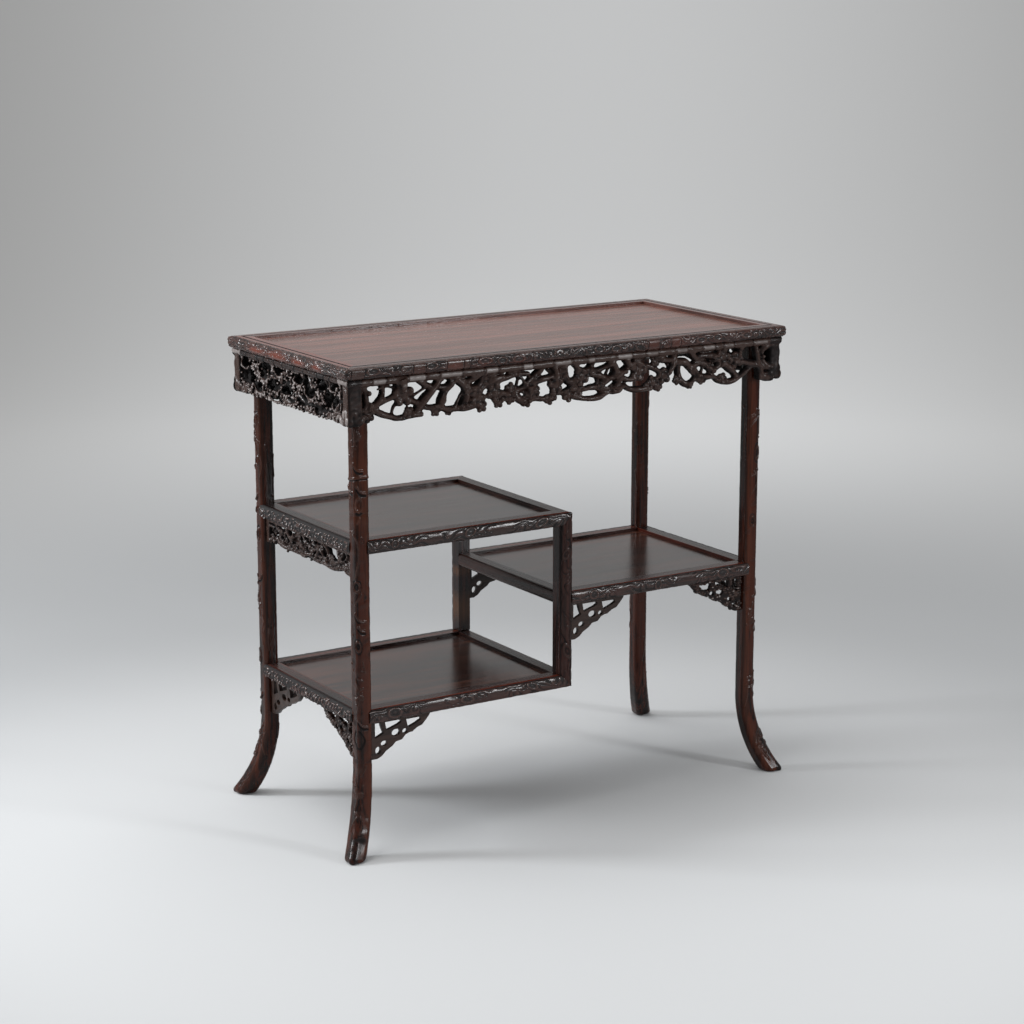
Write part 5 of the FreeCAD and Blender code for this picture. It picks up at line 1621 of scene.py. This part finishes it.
# %% Openwork: mitre a board, move it to its place and mirror it
APRON_LOW, APRON_HIGH = 724.0, 801.0
APRON_X, APRON_Y = 433.0, 203.0


def mitre(board, half):
    """Cuts both ends at 45 degrees, where the boards meet at a corner."""
    bpy.ops.object.mode_set(mode="EDIT")
    for sign in (-1, 1):
        bpy.ops.mesh.select_all(action="SELECT")
        bpy.ops.mesh.bisect(plane_co=(sign * half * MM, 0, 0), plane_no=(sign, 1, 0), use_fill=True,
                            clear_outer=True)
    bpy.ops.object.mode_set(mode="OBJECT")


def to_front(points):
    """From a board's own plane to the front of the stand, in metres."""
    return points + np.array([0, -APRON_Y, APRON_LOW]) * MM


def to_left(points, out=APRON_X, low=APRON_LOW):
    """From a board's own plane to the left of the stand, in metres."""
    return np.stack([points[:, 1] - out * MM, -points[:, 0], points[:, 2] + low * MM], axis=1)


def move_points(board, place):
    """Moves a board from its own plane to the stand."""
    points, _ = read_points(board.data)
    write_points(board.data, place(points))


def mirrored_board(board, name, axis, replaced):
    """The board on the opposite side: a copy with its own mesh, mirrored and turned right side out."""
    other = bpy.data.objects.new(name, board.data.copy())
    bpy.context.scene.collection.objects.link(other)
    points, _ = read_points(other.data)
    points[:, axis] *= -1
    write_points(other.data, points)
    other.data.flip_normals()
    settle(other, openwork_wood, (replaced,))


print("apron, mm tall:", APRON_HIGH - APRON_LOW)

# %% Openwork: the aprons
LEAVES = [(6, 10, 12, 10, 0), (22, 9, 14, 7, 28), (31, 14, 10, 5, -30), (10, 20, 13, 12, 0)]


def corner(half, tall, sign, leafy, dense):
    """One corner of an apron: a post of wood with leaves under it, or with a flat block along its foot."""
    end = sign * half
    if sign != leafy:
        return [block(end, sign * (half - 21.0), 0.0, 21.0, 1.0, tall, 4.0),
                block(end, sign * (half - 44.0), 1.5, 20.0, 1.0, 15.0, 3.0)]
    pieces = [block(end, sign * (half - (21.0 if dense else 27.0)), 0.0, 21.0, 18.0, tall, 4.0)]
    for inset, h, long, wide, turn in LEAVES:
        pieces.append(set_copy(bud_pattern, (sign * (half - inset), 3.5, h), (long, 7.0, wide), sign * turn))
    return pieces


def apron(name, branches, blossoms, half, place, voxel, seed, dense, leafy):
    """A whole apron board in place of its solid one; leafy is the side of its leafy corner, -1 or 1."""
    tall = APRON_HIGH - APRON_LOW
    rod_radius = 5.6 if dense else 7.2
    rod = (tall - rod_radius, rod_radius, rod_ends(half + 2, seed))
    pieces = [grow_branches(branches, 1.05 if dense else 1.35, 12.0 if dense else 9.5, 3.0, 1.5)]
    pieces += jointed_rod(*rod)
    fuller = 1.0 if dense else 1.12
    pieces += set_blossoms([(x, h, fuller * r) for x, h, r in blossoms], 10.0 if dense else 6.5, 0.95)
    if dense:
        pieces += set_foliage(half - 22, tall, 15.0, 18.0, seed)
        pieces += set_scrolls(seed) + set_berries(half, tall, seed)
    else:
        pieces += set_buds(branches, 50, (3.0, 4.6), (0.0, 7.0), seed)
        pieces.append(grow_branches(small_twigs(branches, 60, seed) + CROSSING_TWIGS, 1.0, 8.0, 3.0, 1.3))
    pieces.append(block(-half + 4, half - 4, 6.0, 20.0, tall - 10.0, tall, 1.0))
    scroll = [(half - 16, 64), (half - 6, 56), (half - 4, 38), (half - 10, 20), (half - 22, 14)]
    for sign in (1, -1):
        pieces.append(grow_branches([(3.6, [(sign * x, h) for x, h in scroll])], 1.0, 2.5, 0.0, 1.0))
    for sign in (-1, 1):
        pieces += corner(half, tall, sign, leafy, dense)
    board = melt(pieces, name, voxel)
    cut_details(board, [] if dense else blossoms, half, rod, dense, leafy)
    mitre(board, half)
    move_points(board, place)
    settle(board, openwork_wood, (name.replace("_carving", ""),))
    return board


front_apron = apron("apron_front_carving", LONG_BRANCHES, LONG_BLOSSOMS, APRON_X, to_front, 1.65, 101,
                    False, -1)
mirrored_board(front_apron, "apron_back_carving", 1, "apron_back")
left_apron = apron("apron_left_carving", SIDE_BRANCHES, SIDE_BLOSSOMS, APRON_Y, to_left, 1.3, 102, True, 1)
mirrored_board(left_apron, "apron_right_carving", 0, "apron_right")

# %% Openwork: build the small board
SHELF_APRON_LOW, SHELF_APRON_TALL, SHELF_APRON_THICK, SHELF_APRON_HALF = 462.0, 46.0, 14.0, 156.0


def shelf_apron():
    """The whole small board in place of its solid one."""
    half, tall = SHELF_APRON_HALF, SHELF_APRON_TALL
    pieces = [grow_branches(SHELF_BRANCHES, 1.05, 6.5, 2.4, 1.3)]
    pieces += set_blossoms(SHELF_BLOSSOMS, 5.0, 1.1)
    pieces += set_buds(SHELF_BRANCHES, 90, (2.0, 3.2), (0.5, 5.0), 103)
    pieces += set_foliage(half - 20, tall, 14.0, 10.0, 103)
    pieces.append(block(-half, half, 2.0, 12.0, tall - 7, tall, 0.8))
    for sign in (-1, 1):
        pieces.append(block(sign * half, sign * (half - 12), 1.0, 13.0, 2.0, tall, 2.0))
    board = melt(pieces, "upper_apron_left_carving", 1.15)
    cut_details(board, SHELF_BLOSSOMS)
    outer = LEG_X + SHELF_APRON_THICK / 2
    move_points(board, lambda points: to_left(points, outer, SHELF_APRON_LOW))
    settle(board, openwork_wood, ("upper_apron_left",))


shelf_apron()

# %% [markdown]
# The brackets are thin boards, sawn and pierced, some left plain with eased edges and some covered with
# blossoms and berries. Their outline is already right on the solid boards, so a copy of each is merged
# into one skin rather than drawn again. A plain one gets a narrow bevel. A carved one is remeshed fine
# and raised by a strip of blossoms.

# %% Brackets
def bracket_copy(node_name):
    """A merged copy of a solid bracket."""
    piece = bpy.data.objects.new(node_name + "_carving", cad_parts[node_name].data.copy())
    bpy.context.scene.collection.objects.link(piece)
    pick(piece)
    bpy.ops.object.mode_set(mode="EDIT")
    bpy.ops.mesh.select_all(action="SELECT")
    bpy.ops.mesh.remove_doubles(threshold=1e-5)
    bpy.ops.mesh.dissolve_limited(angle_limit=math.radians(4))
    bpy.ops.object.mode_set(mode="OBJECT")
    return piece


def plain_bracket(node_name):
    """A bracket with eased edges."""
    piece = bracket_copy(node_name)
    finish_with(piece, "BEVEL", width=1.1 * MM, segments=3, limit_method="ANGLE",
                angle_limit=math.radians(35))
    settle(piece, bracket_wood, (node_name,))


def carved_bracket(node_name, along, seed):
    """A bracket under blossoms; it runs along axis 0 in the front and back planes and 1 at the sides."""
    piece = bracket_copy(node_name)
    finish_with(piece, "REMESH", mode="VOXEL", voxel_size=0.9 * MM)
    points, directions = read_points(piece.data)
    low, high = points.min(0), points.max(0)
    strip = blank_strip((high - low)[along] / MM, (high - low)[2] / MM, 1.0)
    crowd(strip, 0, strip["s"][-1], 0, strip["t"][-1], seed, 7.5, (4.0, 7.0))
    i = np.clip(np.round((points[:, along] - low[along]) / MM), 0, len(strip["s"]) - 1).astype(int)
    j = np.clip(np.round((high[2] - points[:, 2]) / MM), 0, len(strip["t"]) - 1).astype(int)
    height = 1.5 * strip["h"][i, j]
    write_points(piece.data, points + directions * (height * MM)[:, None])
    paint_points(piece.data, "relief", height / 2 - 0.3)
    paint_points(piece.data, "worn", np.zeros(len(points)))
    finish_with(piece, "SMOOTH", iterations=2)
    settle(piece, openwork_wood, (node_name,))


for name in ["lower_bracket_front", "lower_bracket_back", "lower_bracket_left_back",
             "right_bracket_post_front", "right_bracket_post_back", "right_bracket_leg_back"]:
    plain_bracket(name)
for name, along, seed in [("right_bracket_leg_front", 0, 111), ("lower_bracket_left_front", 1, 112),
                          ("right_bracket_side_front", 1, 113), ("right_bracket_side_back", 1, 114)]:
    carved_bracket(name, along, seed)
for pattern in (blossom_pattern, bud_pattern):
    bpy.data.objects.remove(pattern)
